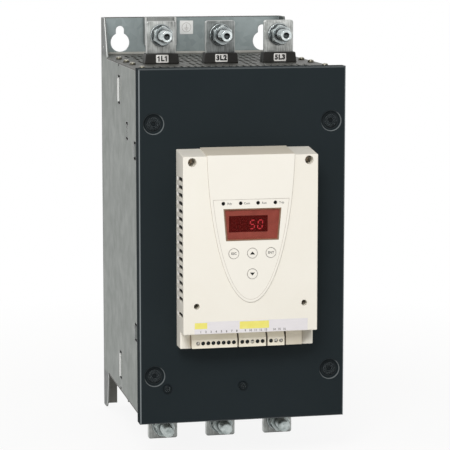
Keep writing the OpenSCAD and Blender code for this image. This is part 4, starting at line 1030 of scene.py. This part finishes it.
strip, fields, numbers = bmesh.new(), bmesh.new(), bmesh.new()
slab(strip, round_rect(-55.6, -79.0, 56.6, -67.3, 0.4), LID_FRONT - 0.05, LID_FRONT + 0.12)
slab(fields, round_rect(-55.4, -74.0, -43.1, -68.1, 0.4), LID_FRONT, LID_FRONT + 0.2)
slab(fields, round_rect(-11.1, -75.4, 18.0, -68.1, 0.4), LID_FRONT, LID_FRONT + 0.2)
for number, x in pole_places():
    lettering(numbers, str(number), 2.9, x, -77.2, LID_FRONT + 0.14, bold=0.08)
finish_mesh("label_strip", strip, strip_paper)
finish_mesh("label_fields", fields, yellow_paper)
finish_mesh("terminal_numbers", numbers, print_grey)

# ---- keypad: printed rings, key legends, status words

ARROW = ((-2.5, -1.3), (2.5, -1.3), (0, 1.6))
LIGHT_XS, WORD_GAP, WORD_Z = (-27.4, -10.3, 6.7, 23.8), 6.1, 47.0

printed = bmesh.new()
for x, z in KEYS.values():
    flat_ring(printed, x, z, 5.02, 5.28, PAD_FRONT - 0.05, PAD_FRONT + 0.04)
finish_mesh("key_rings", printed, print_pale)
for key, text in (("esc", "ESC"), ("enter", "ENT")):
    bm = bmesh.new()
    lettering(bm, text, 3.3, *KEYS[key], KEY_FRONT + 0.02, bold=0.08)
    finish_mesh("legend_" + key, bm, print_grey, body=key + "_key")
for key, way in (("up", 1), ("down", -1)):
    bm = bmesh.new()
    x, z = KEYS[key]
    slab(bm, [(x + dx, z + dz * way) for dx, dz in ARROW], KEY_FRONT - 0.02, KEY_FRONT + 0.05)
    finish_mesh("legend_" + key, bm, print_black, body=key + "_key")
words = bmesh.new()
for x, text in zip(LIGHT_XS, ("Rdy", "Com", "Run", "Trip")):
    lettering(words, text, 2.9, x + WORD_GAP, WORD_Z, PAD_FRONT + 0.02, bold=0.05)
finish_mesh("status_words", words, print_grey)

# ---- thin lines round the panel and its touch area

PANEL_TOP, PAD_TOP = 92.5, 50.8
PAD_LINE = (PAD_FRONT - 0.1, PAD_FRONT + 0.06)


def ribbon(bm, inner, outer, d0, d1):
    """Flat strip between two rows of (x, z) points, given some thickness."""
    solid(bm, [
        [at(ax, d0, az), at(bx, d0, bz), at(bx, d1, bz), at(ax, d1, az)]
        for (ax, az), (bx, bz) in zip(inner, outer)
    ])


def oval(out, top):
    """Points along the panel's oval, moved outwards and cut off at a height, from left to right."""
    steps = 72
    half, long = OVAL_HALF + out, OVAL_LONG + out
    lift = math.asin((top - OVAL_Z) / long)
    points = []
    for i in range(steps + 1):
        a = math.pi - lift + (math.pi + 2 * lift) * i / steps
        points.append((half * math.cos(a), OVAL_Z + long * math.sin(a)))
    return points


lines = bmesh.new()
ribbon(lines, oval(-0.05, PANEL_TOP), oval(0.4, PANEL_TOP), LID_FRONT - 0.1, LID_FRONT + 0.1)
ribbon(lines, oval(-2.95, PAD_TOP), oval(-2.6, PAD_TOP), *PAD_LINE)
low_edge, high_edge = ([(-37.5, z), (37.5, z)] for z in (50.65, 51.0))
ribbon(lines, low_edge, high_edge, *PAD_LINE)
finish_mesh("panel_lines", lines, line_grey)

# ---- display: backing, frame, digits

BACKING_PIECES = (
    (-25.3, 34.9, 27.7, 40.3), (-25.3, 12.5, 27.7, 19.0),
    (-25.3, 19.0, -21.6, 34.9), (16.5, 19.0, 27.7, 34.9),
)
BACKING_REAR, BACKING_FRONT = 296.4, 297.5
BEZEL_REAR, BEZEL_FRONT = 298.5, 298.86
BEZEL_OUTER = [(-24.8, 10.8), (27.2, 10.8), (29.7, 42.0), (-27.3, 42.0)]
BEZEL_INNER = [(-23.4, 12.0), (25.8, 12.0), (28.2, 40.8), (-25.8, 40.8)]
SEGMENTS = {
    "a": ((0.12, 1), (0.88, 1)),
    "b": ((1, 0.94), (1, 0.56)),
    "c": ((1, 0.44), (1, 0.06)),
    "d": ((0.12, 0), (0.88, 0)),
    "e": ((0, 0.44), (0, 0.06)),
    "f": ((0, 0.94), (0, 0.56)),
    "g": ((0.12, 0.5), (0.88, 0.5)),
}
DIGITS = {"5": "afgcd", "0": "abcdef", " ": ""}
DIGIT_XS, DIGIT_LOW = (-18.9, -10.9, -1.3, 6.4), 22.1
DIGIT_REAR, DIGIT_FRONT = 297.65, 297.78
WIDE, TALL, SLANT, STROKE = 4.3, 8.2, 0.12, 0.52

back_plate = bmesh.new()
for x0, z0, x1, z1 in BACKING_PIECES:
    slab(back_plate, [(x0, z0), (x1, z0), (x1, z1), (x0, z1)], BACKING_REAR, BACKING_FRONT)
finish_mesh("display_backing", back_plate, backing)
bezel = bmesh.new()
bezel_rows = rings(bezel, [
    [at(x, d, z) for x, z in path]
    for path, d in (
        (BEZEL_OUTER, BEZEL_REAR), (BEZEL_OUTER, BEZEL_FRONT),
        (BEZEL_INNER, BEZEL_FRONT), (BEZEL_INNER, BEZEL_REAR),
    )
])
skin(bezel, bezel_rows[-1], bezel_rows[0])
finish_mesh("display_bezel", bezel, frame_brown)
lit, unlit = bmesh.new(), bmesh.new()
for place, digit in zip(DIGIT_XS, "  50"):
    for name, (p, q) in SEGMENTS.items():
        x0, z0, x1, z1 = p[0] * WIDE, p[1] * TALL, q[0] * WIDE, q[1] * TALL
        length = math.hypot(x1 - x0, z1 - z0)
        ux, uz = (x1 - x0) / length, (z1 - z0) / length
        tail = length - STROKE
        outline = []
        for along, side in ((0, 0), (STROKE, 1), (tail, 1), (length, 0), (tail, -1), (STROKE, -1)):
            px = x0 + ux * along - uz * side * STROKE
            pz = z0 + uz * along + ux * side * STROKE
            outline.append((place + px + pz * SLANT, DIGIT_LOW + pz))
        slab(lit if name in DIGITS[digit] else unlit, outline, DIGIT_REAR, DIGIT_FRONT)
finish_mesh("digits_lit", lit, segment_lit)
finish_mesh("digits_unlit", unlit, segment_dark)

# ---- stage: floor, light and camera

FLOOR_REACH = 40
LAMP_AIM = Vector((0, -0.15, 0))
CAMERA_LENS, CAMERA_SENSOR = 166.25, 36
CAMERA_PLACE, CAMERA_DIP, CAMERA_TURN = (-0.435, -2.2257, 0.314), 8.299, -11.99


def seen_rays(tree):
    """1 for the rays that show a thing straight, in a mirror or through glass, and 0 for light."""
    path = tree.nodes.new("ShaderNodeLightPath")
    seen = combine(tree, "MAXIMUM", path.outputs["Is Camera Ray"], path.outputs["Is Glossy Ray"])
    return combine(tree, "MAXIMUM", seen, path.outputs["Is Transmission Ray"])


def mix_shaders(tree, share, a, b, out):
    """Mix of two shaders, share of the second, linked to an output."""
    mix = tree.nodes.new("ShaderNodeMixShader")
    tree.links.new(share, mix.inputs["Fac"])
    tree.links.new(a, mix.inputs[1])
    tree.links.new(b, mix.inputs[2])
    tree.links.new(mix.outputs["Shader"], out.inputs["Surface"])


def floor_material():
    """Pale floor: white to the eye, with the shadow of the part in it near the part."""
    material = bpy.data.materials.new("floor")
    material.use_nodes = True
    tree = material.node_tree
    tree.nodes.clear()
    out = tree.nodes.new("ShaderNodeOutputMaterial")
    matt = tree.nodes.new("ShaderNodeBsdfDiffuse")
    matt.inputs["Color"].default_value = (0.86, 0.86, 0.86, 1)
    white = tree.nodes.new("ShaderNodeEmission")
    coords = tree.nodes.new("ShaderNodeTexCoord")
    far = tree.nodes.new("ShaderNodeVectorMath")
    far.operation = "LENGTH"
    tree.links.new(coords.outputs["Object"], far.inputs[0])
    share = spread(tree, far.outputs["Value"], 0.9, 1.0, 0.3, 0.8)
    amount = combine(tree, "MULTIPLY", seen_rays(tree), share)
    mix_shaders(tree, amount, matt.outputs["BSDF"], white.outputs["Emission"], out)
    return material


floor_mesh = bpy.data.meshes.new("floor")
corners = [(FLOOR_REACH * x, FLOOR_REACH * y, 0) for x, y in ((-1, -1), (1, -1), (1, 1), (-1, 1))]
floor_mesh.from_pydata(corners, [], [(0, 1, 2, 3)])
floor_mesh.materials.append(floor_material())
floor = bpy.data.objects.new("floor", floor_mesh)
floor.location = (0, -0.13, cad_low.z)
bpy.context.scene.collection.objects.link(floor)

world = bpy.data.worlds.new("studio")
bpy.context.scene.world = world
world.use_nodes = True
tree = world.node_tree
tree.nodes.clear()
out = tree.nodes.new("ShaderNodeOutputWorld")
soft_light = tree.nodes.new("ShaderNodeBackground")
soft_light.inputs["Strength"].default_value = 0.5
soft_light.inputs["Color"].default_value = (1, 0.968, 0.915, 1)
seen_white = tree.nodes.new("ShaderNodeBackground")
seen_white.inputs["Color"].default_value = (1, 1, 1, 1)
mix_shaders(tree, seen_rays(tree), soft_light.outputs["Background"], seen_white.outputs["Background"], out)


def lamp(name, place, power, size):
    light = bpy.data.lights.new(name, "AREA")
    light.energy = power
    light.size = size
    made = bpy.data.objects.new(name, light)
    made.location = place
    made.rotation_euler = (LAMP_AIM - Vector(place)).to_track_quat("-Z", "Y").to_euler()
    bpy.context.scene.collection.objects.link(made)


lamp("key", (-0.7, -2.0, 1.5), 31, 0.9)
lamp("side", (-2.2, -0.9, 0.5), 3, 0.6)

camera = bpy.data.cameras.new("camera")
camera.lens = CAMERA_LENS
camera.sensor_width = CAMERA_SENSOR
view = bpy.data.objects.new("camera", camera)
view.location = CAMERA_PLACE
view.rotation_euler = (math.radians(90 - CAMERA_DIP), 0, math.radians(CAMERA_TURN))
bpy.context.scene.collection.objects.link(view)
bpy.context.scene.camera = view
bpy.context.scene.view_settings.view_transform = "Standard"
